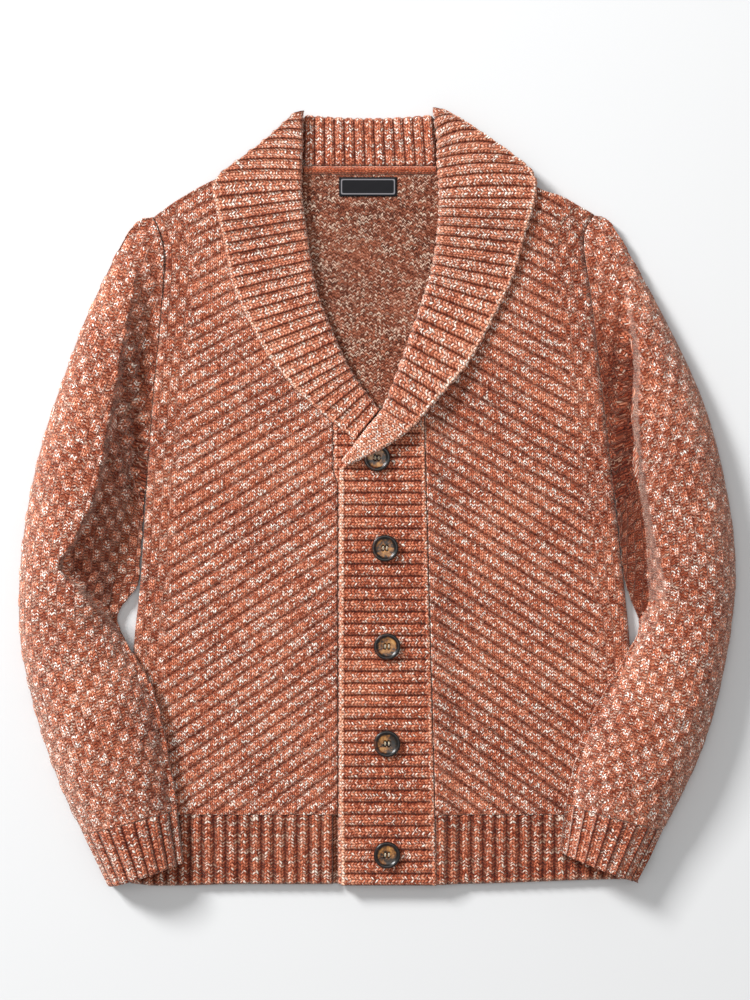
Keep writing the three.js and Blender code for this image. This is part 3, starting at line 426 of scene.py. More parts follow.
class Cloth:
    """The points, stitch places and faces of one piece while it is put together. Each point also
    has a depth, from 0 in a groove to 1 on a crest, by which the knit's colour is painted darker
    where it is low: painted shade. Also purl, 1 where the knit shows its back, which is painted
    darker too, and light, up to 1 where the colour is painted paler: along chains of edge stitches,
    welts, cast-off rolls and a collar's tip, partly painted highlight."""

    def __init__(self):
        self.points, self.stitches, self.depths, self.purls, self.lights = [], [], [], [], []
        self.faces, self.rounded, self.same = [], [], []
        self.count = 0

    def grid(self, points, stitches, depth=1.0, purl=0.0, light=0.0, ring=False, inward=False, poles=False):
        """Adds a grid, (rows, columns, 3), and its quads. In a ring the last column lies on the
        first, and with poles the first and the last row are one point each. Returns the numbers of
        its points."""
        rows, columns = points.shape[:2]
        numbers = self.count + np.arange(rows * columns).reshape(rows, columns)
        same = numbers.copy()
        if ring:
            same[:, -1] = same[:, 0]
        if poles:
            same[0], same[-1] = same[0, 0], same[-1, 0]
        self.points.append(points.reshape(-1, 3))
        self.stitches.append(np.stack(np.broadcast_arrays(*stitches), -1).reshape(-1, 2))
        self.depths.append(np.broadcast_to(depth, (rows, columns)).ravel())
        self.purls.append(np.broadcast_to(purl, (rows, columns)).ravel())
        self.lights.append(np.broadcast_to(light, (rows, columns)).ravel())
        self.same.append(same.ravel())
        self.count += rows * columns
        quads = np.stack([numbers[:-1, :-1], numbers[:-1, 1:], numbers[1:, 1:], numbers[1:, :-1]], -1)
        quads = quads.reshape(-1, 4)
        self.add_faces(quads[:, ::-1] if inward else quads, True)
        return numbers

    def add_faces(self, faces, rounded):
        """Adds faces, shaded as part of a round surface or as flat ones."""
        self.faces += np.asarray(faces).tolist()
        self.rounded += [rounded] * len(faces)

    def cap(self, numbers, inward=True):
        """Closes both ends of a ring grid that was added inward, or one that wasn't."""
        step = 1 if inward else -1
        self.add_faces([numbers[0, :-1][::step]], False)
        self.add_faces([numbers[-1, :-1][::-step]], False)

    def join(self, fine, coarse, inward=False):
        """Joins a line of points to one with fewer: each step of coarse meets the same number of
        steps of fine, in a fan from its near end and one from its far end."""
        each = (len(fine) - 1) // (len(coarse) - 1)
        half = each // 2
        step = np.arange(len(fine) - 1)
        near = step // each + (step % each >= half)
        fans = np.stack([fine[:-1], coarse[near], fine[1:]], -1)
        middles = fine[np.arange(len(coarse) - 1) * each + half]
        gaps = np.stack([middles, coarse[:-1], coarse[1:]], -1)
        faces = np.concatenate([fans, gaps])
        self.add_faces(faces[:, ::-1] if inward else faces, False)

    def object(self, name, material, nodes, slot):
        """Makes the mesh, in metres, and hides the parts of model.glb that it stands for."""
        same = np.concatenate(self.same)
        used, renumbered = np.unique(same, return_inverse=True)
        points = np.concatenate(self.points)[used] * MM
        mesh = bpy.data.meshes.new(name)
        faces = [[int(renumbered[i]) for i in face] for face in self.faces]
        mesh.from_pydata(points.tolist(), [], faces)
        corners = np.concatenate([np.array(face) for face in self.faces])
        uv = mesh.uv_layers.new(name="stitches")
        uv.data.foreach_set("uv", np.concatenate(self.stitches)[corners].astype(np.float32).ravel())
        for attribute, values in (("depth", self.depths), ("purl", self.purls), ("light", self.lights)):
            layer = mesh.attributes.new(attribute, "FLOAT", "POINT")
            layer.data.foreach_set("value", np.concatenate(values)[used].astype(np.float32))
        mesh.polygons.foreach_set("use_smooth", self.rounded)
        mesh.materials.append(material)
        mesh.update()
        made = bpy.data.objects.new(name, mesh)
        bpy.context.scene.collection.objects.link(made)
        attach(made, "root")
        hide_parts(*nodes)
        return made


def rim(numbers):
    """A grid's outline, anticlockwise from its first point and back to it."""
    around = [numbers[0, :-1], numbers[:-1, -1], numbers[-1, :0:-1], numbers[:0:-1, 0], numbers[:1, 0]]
    return np.concatenate(around)


def spread(x, y, z):
    return np.stack(np.broadcast_arrays(x, y, z), -1).astype(float)


def raised(points, height, ring=False):
    """Moves each point of a grid by its height along the surface's own normal, the cross product
    of the steps to its neighbours."""
    along = np.gradient(points, axis=0)
    if ring:
        before, after = np.roll(points[:, :-1], 1, axis=1), np.roll(points[:, :-1], -1, axis=1)
        across = after - before
        across = np.concatenate([across, across[:, :1]], axis=1)
    else:
        across = np.gradient(points, axis=1)
    normal = np.cross(across, along)
    normal /= np.maximum(np.linalg.norm(normal, axis=-1, keepdims=True), 1e-9)
    return points + normal * height[..., None]


def flat_panel(surface, rows, columns, every):
    """A panel with a fine top and a plain underside. surface(along, across, top) gives the points,
    stitches, depth and purl of either face, for shares from 0 to 1; every is how many steps of
    the top meet one of the underside."""
    cloth = Cloth()
    along = np.linspace(0, 1, rows * every + 1)[:, None]
    across = np.linspace(0, 1, columns * every + 1)[None, :]
    top = cloth.grid(*surface(along, across, True))
    under = cloth.grid(*surface(along[::every], across[:, ::every], False), inward=True)
    cloth.join(rim(top), rim(under))
    return cloth


# The panels


def back_panel():
    """The back, seen inside the neck: x = mix(left side, right side, a) and y from the hem to the
    shoulder line, with steps close together where it shows. Its top is purl."""

    def surface(along, across, top):
        x_top = mix(side_x(-1, 252.0), side_x(1, 254.5), across)
        left_line = read(LEFT_SHOULDER, "x", "y", np.minimum(x_top, -102))
        right_line = read(RIGHT_SHOULDER, "x", "y", np.maximum(x_top, 96))
        neck = 290.7 + 7.3 * (1 - ease(-88, -72, x_top)) + 6.3 * ease(60, 83, x_top)
        top_y = np.where(x_top < -95, left_line, np.where(x_top > 90, right_line, neck))
        y = mix(HEM_TOP, top_y, 1 - (1 - along) ** 1.6)
        x = mix(side_x(-1, y), side_x(1, y), across)
        z = lift(x, y) + np.zeros_like(x)
        stitches = (x / WALE, y / COURSE)
        if not top:
            return spread(x, y, z), stitches, 0.6, 1.0
        bumps = 0.5 * stitch_wave(x / WALE + 0.5 * np.mod(np.floor(y / COURSE), 2), y / COURSE)
        rim_drop = 1.2 * (1 - ease(0, 4, np.minimum(x - side_x(-1, y), side_x(1, y) - x)))
        height = BACK_WALL - 0.5 + bumps - rim_drop
        return spread(x, y, z + height), stitches, 0.35 + 0.65 * bumps / 0.5, 1.0

    return flat_panel(surface, 38, 34, 4)


def diagonal_ribs(side, x, y):
    """How many half ribs a point lies up the front: the ribs fall away from the band, steeper near
    the hem, y = foot + pitch/2 · rows - slope(rows) · distance from the band."""
    distance = (UNDER_BAND_LEFT - x) if side < 0 else (x - DIAGONAL_RIGHT)
    rise = y - HEM_TOP
    low, high, rows = 0.74, 0.52, 80
    half = DIAGONAL_PITCH / 2
    lower = (rise + low * distance) / half
    middle = (rise + low * distance) / (half + (low - high) * distance / rows)
    upper = (rise + high * distance) / half
    return np.where(middle > rows, upper, np.where(middle < 0, lower, middle))


def front(side):
    """A front: y from the hem to the shoulder, x = mix(side edge, band seam or neck seam, a)."""
    left = side < 0
    leaf = LEFT_LEAF if left else RIGHT_LEAF
    shoulder = LEFT_SHOULDER if left else RIGHT_SHOULDER
    neck_ribs = (5.9, 27) if left else (5.9, 24.3)
    neck_top_x, _ = leaf_seam(leaf, neck_ribs[0])
    band_y = float(leaf_seam(leaf, neck_ribs[1])[1])
    tip_x, tip_y = (-201.6, 252.2) if left else (196.2, 254.6)
    rib_strength = 1.0 if left else 0.8

    def inner_x(y):
        band = mix(-35.6, UNDER_BAND_LEFT - SEAM_GAP, ease(10, 26, y)) if left else band_seam_x(y) + SEAM_GAP
        neck = leaf_seam_x(leaf, *neck_ribs, y) + side * 1.4 * SEAM_GAP
        return np.where(y < band_y, band, neck)

    def surface(along, across, top):
        top_x = mix(tip_x, neck_top_x, across)
        top_y = read(shoulder, "x", "y", top_x)
        y = mix(HEM_TOP, top_y, along)
        x = mix(side_x(side, np.clip(y, -349, tip_y)), inner_x(y), across)
        base = LEVEL_1 + 1.02 * lift(x, y) + (0 if left else climb(x, y))
        wales = x / WALE
        step_x, step_y = (np.floor(x / WALE) + 0.5) * WALE, (np.floor(y / COURSE) + 0.5) * COURSE
        ribs = diagonal_ribs(side, mix(x, step_x, 0.55), mix(y, step_y, 0.55))
        if not top:
            return spread(x, y, base), (wales, y / COURSE), 0.6, 0.0
        inside = side * (side_x(side, y) - x)
        diagonal = hump(ribs / 2)
        beads = stitch_wave(wales, y / COURSE)
        own = scatter(wales, y / COURSE - 1.3 * np.abs(fraction(wales) - 0.5), 3)
        rope = diagonal ** 0.88 * (0.56 + 0.24 * beads + 0.2 * own) + 0.12 * own
        basket, purl = basket_wave(inside / WALE, y / COURSE)
        in_band = 1 - ease(SIDE_BAND - 2, SIDE_BAND + 2, inside)
        depth = mix(rope * rib_strength + 0.1 * (1 - rib_strength), 0.85 * basket, in_band)
        purl = np.where(in_band > 0.5, purl, diagonal < 0.3)
        rounding = 2.6 * (1 - ease(-1, 5, inside)) + 0.7 * (1 - ease(0, 2, side * (x - inner_x(y))))
        height = WALL + RIB * depth - sunk(FRONT_CREASES[side], x, y) - rounding
        height = np.minimum(height, PROUD + 0.1)
        return spread(x, y, base + height), (wales, y / COURSE), depth, purl

    return flat_panel(surface, 55, 16, 9)


# Ribbed strips


def hem_rib(from_x, to_x, level, rise, ribbed):
    """A hem: ribs along X, y from its seam down to a rolled edge, whose height falls as a quarter
    circle over the last 4 mm."""
    ribs = round((to_x - from_x) / HEM_RIB_PITCH)

    def surface(along, across, top):
        x = mix(from_x, to_x, across)
        bottom, seam = hem_bottom_y(x), HEM_TOP - SEAM_GAP
        y = mix(bottom, seam, along)
        base = level + rise(x)
        stitches = (across * ribs * 2, (y - seam) / COURSE)
        if not top:
            return spread(x, y + 1.5 * (1 - ease(0, 0.05, along)), base), stitches, 0.6, 0.0
        crest = rib_wave(across * ribs, 0.3) if ribbed else 0.6 + 0 * across
        beads = stitch_wave(*stitches)
        from_edge = np.clip((y - bottom) / 4, 0, 1)
        roll = np.sqrt(np.maximum(0, 1 - (1 - from_edge) ** 2))
        cast_off = bell(y - bottom - 3, 1.6)
        depth = crest * (0.85 + 0.15 * beads)
        seam_dip = 0.5 * (1 - ease(0, 2, seam - y))
        height = (WALL + RIB * mix(depth, 0.8, 0.7 * cast_off) - seam_dip) * mix(0.4, 1, roll)
        # light: the cast-off roll is painted paler, partly painted highlight on the rolled edge.
        return spread(x, y, base + height), stitches, depth, 0.0, 0.5 * cast_off

    return flat_panel(surface, 6, max(6, ribs), 9 if ribbed else 4)


def level_band(from_y, to_y, left_x, right_x, level, first_rib_y, selvedge):
    """A front band: level ribs along Y, x from its free edge to its seam. A chain of edge stitches
    runs up the free edge and a thin plain welt along the seam."""
    ribs = round((to_y - first_rib_y) / BAND_RIB_PITCH)
    rows = max(8, round((to_y - from_y) / BAND_RIB_PITCH))

    def surface(along, across, top):
        y = mix(from_y, to_y, along)
        a, b = left_x(y), right_x(y)
        x = mix(a, b, across)
        width = b - a
        t = (y - first_rib_y) / (to_y - first_rib_y) * ribs
        stitches = (t * 2, x / COURSE)
        if not top:
            return spread(mix(a + 0.8, b - 0.8, across), y, level), stitches, 0.6, 0.0
        from_left, from_right = x - a, b - x
        narrowing = np.minimum(1, width / 20)
        chain = bell(from_left - EDGE_CHAIN, CHAIN_REACH) * narrowing
        welt = bell(from_right - SEAM_WELT, CHAIN_REACH) * narrowing
        links = 0.8 + 0.2 * hump(y / CHAIN_LINK)
        depth = mix(ribbed_knit(t, stitches), links, np.clip(chain * selvedge + welt, 0, 1))
        fall = np.sqrt(np.clip(from_left / EDGE_CHAIN, 0.02, 1))
        seam = mix(0.86, 1, np.sqrt(np.clip(from_right / 1.6, 0, 1)))
        trough = 1 - 0.35 * bell(from_left - EDGE_TROUGH, 1.1) * selvedge
        height = mix(0.45, 1, fall) * seam * (WALL + RIB * depth * trough)
        # light: the edge chain and the welt are painted paler, partly painted highlight on their raised
        # stitches.
        light = np.clip(chain * selvedge + 0.4 * welt, 0, 1)
        return spread(x, y, level + height), stitches, depth * trough, 0.0, light

    return flat_panel(surface, rows, 7, 10)


def button_band():
    top_rib = 25.2
    _, top_y = leaf_seam(RIGHT_LEAF, top_rib)
    end_x, end_y = leaf_seam(RIGHT_LEAF, 35)

    def left_x(y):
        below = mix(end_x + 1.5, BAND_EDGE - 1.6 + 1.8 * ease(-270, -348, y), ease(end_y, end_y - 6, y))
        return np.where(y < end_y, below, leaf_seam_x(RIGHT_LEAF, top_rib - 0.5, 35, y) + 1.5)

    return level_band(
        BAND_BOTTOM, float(top_y), left_x, lambda y: band_seam_x(y) - SEAM_GAP, LEVEL_2, BAND_BOTTOM, 1.0
    )


def under_band():
    cross_x, cross_y = leaf_seam(LEFT_LEAF, 31)

    def left_x(y):
        return mix(-35.2, UNDER_BAND_LEFT, ease(10, 26, y))

    def right_x(y):
        slanting = mix(UNDER_BAND_RIGHT, cross_x - 1.5, (y - 44) / (cross_y - 44))
        upper = leaf_seam_x(LEFT_LEAF, 25, 31, y) - 1.5
        return np.where(y < 44, UNDER_BAND_RIGHT, np.where(y < cross_y, slanting, upper))

    return level_band(BAND_BOTTOM + 0.8, 90, left_x, right_x, LEVEL_1, -7.2, 0.4)


# The collar


def side_by_side(down, stretches):
    """The stretches of a cross section in one row, for each place down a piece. Each stretch is a
    pair of a distance and a height. Also the column that each stretch ends before."""
    pairs = [np.broadcast_arrays(*pair, down)[:2] for pair in stretches]
    distance, height = (np.concatenate(part, axis=1).astype(float) for part in zip(*pairs))
    return distance, height, np.cumsum([pair[0].shape[1] for pair in pairs])


def arc_length(points):
    """How far along its row each point of a grid lies."""
    steps = np.linalg.norm(np.diff(points, axis=1), axis=-1)
    return np.cumsum(np.concatenate([np.zeros((len(points), 1)), steps], axis=1), axis=1)


def collar_leaf(leaf, last_rib, bow):
    """A collar leaf, folded outwards. Each cross section is a closed loop of a height against a
    distance from the roll line: the stand's underside, a half round at the roll, the fall's ribbed
    top, a half round at the free edge, and back along the inside. bow is how far the upper ribs
    arch upwards between the roll and the edge."""
    samples = 9
    rib = np.linspace(0, last_rib, last_rib * samples + 1)[:, None]
    edge_x, edge_y, roll_x, roll_y, low, high = (
        read(leaf, "rib", column, rib) for column in ("edge_x", "edge_y", "roll_x", "roll_y", "low", "high")
    )
    width = np.hypot(edge_x - roll_x, edge_y - roll_y)
    turn_down = (high - SEAM_GAP) * (1 - ease(4.6, 6, rib))
    seam = width * 0.5 - SEAM_GAP
    crown = high + WALL
    fold_reach = np.minimum(5.0, width * 0.3)
    edge_reach = np.minimum(2.6, width * 0.25)
    half_height = (crown - low) / 2
    turn = np.linspace(0, math.pi, 15)[None, :]
    cross = np.linspace(0, 1, 67)[None, 1:-1]
    edge_turn = np.linspace(0, 1, 9)[None, 1:]
    inside_fold = np.minimum(WALL + 0.6, width * 0.4)
    edge_foot = high - turn_down
    across, height, ends = side_by_side(rib, [
        (mix(seam, fold_reach, np.linspace(0, 1, 5)[None, :-1]), low),
        (fold_reach * (1 - np.sin(turn)), low + half_height * (1 - np.cos(turn))),
        (mix(fold_reach, width - edge_reach, cross), crown),
        (
            width - edge_reach * (1 - np.sin(edge_turn * math.pi / 2)),
            mix(crown, np.minimum(edge_foot + 1.2, high + 1.6), 1 - np.cos(edge_turn * math.pi / 2)),
        ),
        (width - 1.0, edge_foot + 0.2),
        (width - np.minimum(WALL, width * 0.35), high),
        (inside_fold, high),
        (inside_fold, low + WALL),
        (seam, low + WALL),
        (seam, low),
    ])
    column = np.arange(across.shape[1])
    outer = (column >= ends[0]) & (column < ends[3])
    share = across / width
    arching = bow * np.clip(4 * share * (1 - share), 0, 1) * ease(0, 2, rib) * (1 - ease(6, 10, rib))
    x, y = mix(roll_x, edge_x, share), mix(roll_y, edge_y, share) + arching
    points = spread(x, y, height + lift(x, y))
    stitches = (rib * 2, arc_length(points) / COURSE)
    chain = bell(width - across - 2.2, 1.5) * (height > high + 0.5)
    links = 0.78 + 0.22 * hump(rib * 2.6)
    depth = mix(ribbed_knit(rib, stitches), links, 0.75 * chain)
    tip = ease(27, 29.5, rib) if last_rib > 31 else 0 * rib
    depth = mix(depth, 0.75 + 0.2 * stitch_wave(*stitches), 0.7 * tip)
    relief = RIB * (depth - 0.25) * outer * np.minimum(1, width / 25)
    points = raised(points, -relief, ring=True)
    cloth = Cloth()
    shown = np.where(outer, depth, 0.5)
    # light: the chain along the free edge and the tip are painted paler, partly painted highlight.
    light = np.maximum(0.7 * chain, 0.3 * tip)
    numbers = cloth.grid(points, stitches, shown, 0.0, light, ring=True, inward=True)
    cloth.cap(numbers)
    return cloth


def collar_back():
    """The back of the collar: its ribbed stand shows behind the neck, rolls over at the very top and
    falls behind the shoulders. Each section runs round from the neck seam over the roll."""
    ribs, samples = 13, 10
    share = np.linspace(0, 1, ribs * samples + 1)[:, None]
    stand = BACK_WALL + 2 * SEAM_GAP
    foot = BINDING["top"] + SEAM_GAP
    crown = stand + WALL
    top = COLLAR_FOLD - 3 * np.sin(math.pi * share)
    roll = 3.6
    rise = np.linspace(0, 1, 37)[None, :]
    turn = np.linspace(0, math.pi, 13)[None, 1:-1]
    fall = np.linspace(0, 1, 12)[None, :]
    y, z, ends = side_by_side(share, [
        (foot, stand),
        (mix(foot, top - roll, rise), crown),
        (top - roll + roll * np.sin(turn), crown / 2 * (1 + np.cos(turn))),
        (mix(top - roll, COLLAR_FALL_EDGE + 1, fall), 0),
        (COLLAR_FALL_EDGE, 1.5),
        (COLLAR_FALL_EDGE + 1, BACK_WALL),
        (top - 6, BACK_WALL),
        (top - 5, stand),
        (foot, stand),
    ])
    down = COLLAR_FOLD - y
    fold_x = mix(-65, 49.4, share)
    stand_x = mix(fold_x, mix(-65.2, 53, share), down / COLLAR_STAND)
    fall_x = mix(fold_x, mix(-141, 137, share), np.maximum(0, down / (COLLAR_FOLD - COLLAR_FALL_EDGE)))
    x = mix(fall_x, stand_x, ease(0, stand, z))
    column = np.arange(y.shape[1])
    shown = (column >= ends[0]) & (column < ends[2])
    points = spread(x, y, z)
    stitches = (share * ribs * 2, arc_length(points) / COURSE)
    depth = ribbed_knit(share * ribs, stitches)
    points = raised(points, -RIB * (depth - 0.25) * shown * ease(0.2, 2, z), ring=True)
    cloth = Cloth()
    numbers = cloth.grid(points, stitches, np.where(shown, depth, 0.5), ring=True, inward=True)
    cloth.cap(numbers)
    return cloth


def neck_binding():
    """A plain knitted roll over the back neck seam: a half round across, with small links along its top."""
    foot = BACK_WALL + 2 * SEAM_GAP

    def surface(along, across, top):
        x = mix(BINDING["left"], BINDING["right"], across)
        y = mix(BINDING["bottom"], BINDING["top"], along)
        stitches = (y / COURSE, x / COURSE)
        if not top:
            return spread(x, y, foot + 0 * x * y), stitches, 0.5, 0.0
        roll = np.sqrt(np.maximum(0, 1 - (2 * along - 1) ** 2))
        links = 0.35 * hump(x / 3.2)
        height = 0.4 + (BINDING["height"] - 0.8) * roll + links * roll
        return spread(x, y, foot + height), stitches, 0.4 + 0.6 * roll, 0.0

    return flat_panel(surface, 2, 16, 8)


# Sleeves and cuffs


def rest_height(side, x, y):
    """The height that a sleeve's underside lies at: the surface, or the body where it lies on it."""
    outside = side * (x - side_x(side, y))
    return (LEVEL_1 + PROUD + 2 * SEAM_GAP) * (1 - ease(7, 22.5, outside)) * (1 - ease(-150, -100, y))


def ring_of(side, section, inset, shares, bow):
    """One closed loop for each row of a sleeve: over the arched top from the outer edge to the
    inner one, and back under the flat underside. The arch is (1 - off^2.5)^0.55, where off is the
    distance from the crown as a share of its side."""
    outer_x, outer_y, inner_x, inner_y, crown = section
    width = np.hypot(outer_x - inner_x, outer_y - inner_y)
    squash = 1 - 2 * inset / width
    crown_share = ARCH["crown_share"]
    corner = np.linspace(0, math.pi / 2, CORNER_STEPS + 1)[None, 1:]
    under = np.array(UNDER_SHARES)[None, :]
    half = np.where(shares < crown_share, crown_share, 1 - crown_share)
    off = np.abs(shares - crown_share) / half
    arch = (1 - np.minimum(off, 1) ** ARCH["side_fullness"]) ** ARCH["top_fullness"]
    near_corner = 1 - 0.035 * (1 - np.cos(corner))
    far_corner = 0.035 * (1 - np.cos(corner[:, ::-1]))
    loop = [shares, near_corner, under, far_corner, shares[:1, :1]]
    all_shares = np.concatenate(
        [np.broadcast_to(part, (len(shares), part.shape[1])) for part in loop], axis=1
    )
    s = inset / width + all_shares * squash
    x = mix(outer_x, inner_x, s) + bow(s)
    y = mix(outer_y, inner_y, s)
    rest = rest_height(side, x, y)
    tops = shares.shape[1]
    over = mix(SLEEVE_EDGE, crown, arch) - inset
    floor = rest[:, :tops] + THINNEST_SLEEVE - inset
    ends = (shares <= 0.0) | (shares >= 1.0)
    z_over = np.where(ends, rest[:, :tops] + SLEEVE_EDGE, np.maximum(floor, over))
    corner_z = inset + (SLEEVE_EDGE - inset) * (1 - np.sin(corner))
    far_z = inset + (SLEEVE_EDGE - inset) * (1 - np.sin(corner[:, ::-1]))
    flat = inset + 0 * under
    z_under = np.concatenate([corner_z, flat, far_z], axis=1) + rest[:, tops:-1]
    z = np.concatenate([z_over, z_under, z_over[:, :1]], axis=1)
    return x, y, z


def top_shares(count):
    """Shares of a sleeve's width, closer together at its two edges where the arch is steep."""
    q = np.linspace(0, 1, count)[None, :]
    return mix(q, 0.5 - 0.5 * np.cos(math.pi * q), 0.7)


def sleeve_stitches(rows, at, x, y):
    """How far along and across a sleeve's knitting each point lies, in millimetres. The wales run
    alongside the outer outline, whose direction near the armhole is that of its fourth section:
    along = the outline's own run + the point's offset along it, and across is the offset's other
    part."""
    calm = np.maximum(at, 4)
    outer_x, outer_y = (read(rows, "at", c, calm) for c in ("outer_x", "outer_y"))
    run_x, run_y = (
        read(rows, "at", c, calm + 0.5) - read(rows, "at", c, calm - 0.5) for c in ("outer_x", "outer_y")
    )
    size = np.hypot(run_x, run_y)
    run_x, run_y = run_x / size, run_y / size
    steps = np.diff(outer_x, axis=0) * run_x[1:] + np.diff(outer_y, axis=0) * run_y[1:]
    length = np.concatenate([np.zeros((1, 1)), np.cumsum(steps, axis=0)])
    off_x, off_y = x - outer_x, y - outer_y
    return length + off_x * run_x + off_y * run_y, off_x * run_y - off_y * run_x


def even_stations(rows, count):
    """Places down a sleeve, evenly apart along its outer outline with a share along the inner."""
    fine = np.linspace(0, WRIST, 1501)
    outer = np.hypot(np.diff(read(rows, "at", "outer_x", fine)), np.diff(read(rows, "at", "outer_y", fine)))
    inner = np.hypot(np.diff(read(rows, "at", "inner_x", fine)), np.diff(read(rows, "at", "inner_y", fine)))
    run = np.concatenate([[0], np.cumsum(0.75 * outer + 0.25 * inner)])
    return np.interp(np.linspace(0, run[-1], count), run, fine)


def sleeve(side):
    """A sleeve in basket stitch, with its elbow creases. Its first ring follows the armhole."""
    rows = LEFT_SLEEVE if side < 0 else RIGHT_SLEEVE
    at = even_stations(rows, 55 * INSIDE_ROWS_EVERY + 1)[:, None]

    def rings(stations, inset, shares):
        section = [read(rows, "at", c, stations) for c in SECTION]

        def bow(s):
            y = mix(rows["outer_y"][0], rows["inner_y"][0], s)
            off = side_x(side, y) + side * 0.1 - mix(rows["outer_x"][0], rows["inner_x"][0], s)
            return off * (1 - ease(0, 3.4, stations))

        flat = np.broadcast_to(shares, (len(stations), shares.shape[1]))
        x, y, z = ring_of(side, section, inset, flat, bow)
        rest = rest_height(side, x, y)
        floor = rest + FOLDED_SLEEVE - inset
        fold, _ = folded(side, x, y)
        sinks = (sunk(CREASES[side], x, y) + fold) * ease(6, 14, z - rest)
        return spread(x, y, np.maximum(z - sinks, np.minimum(z, floor)))

    top = top_shares(121)
    outer = rings(at, 0.0, top)
    along, across = sleeve_stitches(rows, at, outer[..., 0], outer[..., 1])
    steps = np.diff(outer, axis=1)
    climbing = np.linalg.norm(steps, axis=-1) - np.hypot(steps[..., 0], steps[..., 1])
    across = np.abs(across)
    across[:, 1:] += 0.6 * np.cumsum(climbing, axis=1)
    wales = across / (WALE * 1.1)
    courses = along / (COURSE * 1.04)
    basket, purl = basket_wave(wales, courses)
    beads = stitch_wave(wales, courses)
    own = scatter(wales / BLOCK_WALES, courses / BLOCK_COURSES, 5)
    depth = basket * (0.84 + 0.16 * beads) * (0.9 + 0.1 * own)
    on_top = np.arange(outer.shape[1]) < top.shape[1]
    mouth = ease(0, 3, np.arange(len(at)))[:, None] * ease(0, 4, np.arange(len(at))[::-1])[:, None]
    relief = (1.7 * (depth - 0.62)) * on_top * mouth
    outer = raised(outer, -relief, ring=True)
    inner = rings(at[::INSIDE_ROWS_EVERY], SLEEVE_WALL, top[:, ::INSIDE_EVERY])
    # Painted shade in the fold: the depth given to the material is lowered there, so the colour is painted
    # darker.
    _, shade = folded(side, outer[..., 0], outer[..., 1])
    shown = np.where(on_top, depth * (1 - FOLD_PAINTED_SHADE[side] * shade), 0.6)
    return pair_up(outer, (wales, courses), shown, purl, inner)


def pair_up(outer, stitches, depth, purl, inner):
    """Closes a tube whose top has INSIDE_EVERY steps to one of its inside, and whose underside has
    the same steps inside and out."""
    cloth = Cloth()
    outside = cloth.grid(outer, stitches, depth, purl, ring=True, inward=True)
    rows, columns = inner.shape[:2]
    plain = (np.arange(columns)[None, :] * 2.0, np.arange(rows)[:, None] * 3.0)
    inside = cloth.grid(inner, plain, 0.5, 1.0, ring=True)
    tops, inner_tops = outer.shape[1] - UNDER_POINTS, columns - UNDER_POINTS
    for end, inward in ((0, True), (-1, False)):
        cloth.join(outside[end, :tops], inside[end, :inner_tops], inward)
        cloth.join(outside[end, tops - 1:], inside[end, inner_tops - 1:], inward)
    return cloth


def cuff(side):
    """A ribbed cuff: the sleeve's last ring carried on to the cuff's own end, with the ribs along it
    and a rolled edge."""
    rows = LEFT_SLEEVE if side < 0 else RIGHT_SLEEVE
    seam = [float(read(rows, "at", c, WRIST)) for c in SECTION]
    end = [CUFF_END[side][c] for c in SECTION]

    def rings(down, inset, shares):
        section = [mix(a, b, down) for a, b in zip(seam, end)]
        flat = np.broadcast_to(shares, (len(down), shares.shape[1]))
        x, y, z = ring_of(side, section, inset, flat, lambda s: 0 * s)
        return spread(x, y, z)

    tops = 109
    shares = mix(np.linspace(0, 1, tops)[None, :], top_shares(tops), 0.5)
    down = np.linspace(0.008, 1, 46)[:, None]
    outer = rings(down, 0.0, shares)
    under = [1] * CORNER_STEPS + [*UNDER_SHARES] + [0] * (CORNER_STEPS + 1)
    share = np.concatenate([np.linspace(0, 1, tops), under])[None, :]
    ribs = share * CUFF_RIBS
    length = np.hypot(end[0] - seam[0], end[1] - seam[1])
    stitches = (ribs * 2 + 0 * down, down * length / COURSE + 0 * ribs)
    beads = stitch_wave(*stitches)
    depth = rib_wave(ribs) * (0.85 + 0.15 * beads)
    from_end = (1 - down) * length
    roll = 1 - np.sqrt(np.maximum(0, 1 - (1 - np.clip(from_end / 3, 0, 1)) ** 2))
    on_top = np.arange(outer.shape[1]) < tops
    relief = 1.7 * (depth - 0.35) * on_top * ease(0, 3, np.arange(46))[:, None] - 1.5 * roll
    outer = raised(outer, -relief, ring=True)
    inner = rings(down[::9], SLEEVE_WALL, shares[:, ::INSIDE_EVERY])
    return pair_up(outer, stitches, np.where(on_top, depth, 0.6), 0.0, inner)


# Buttons and label


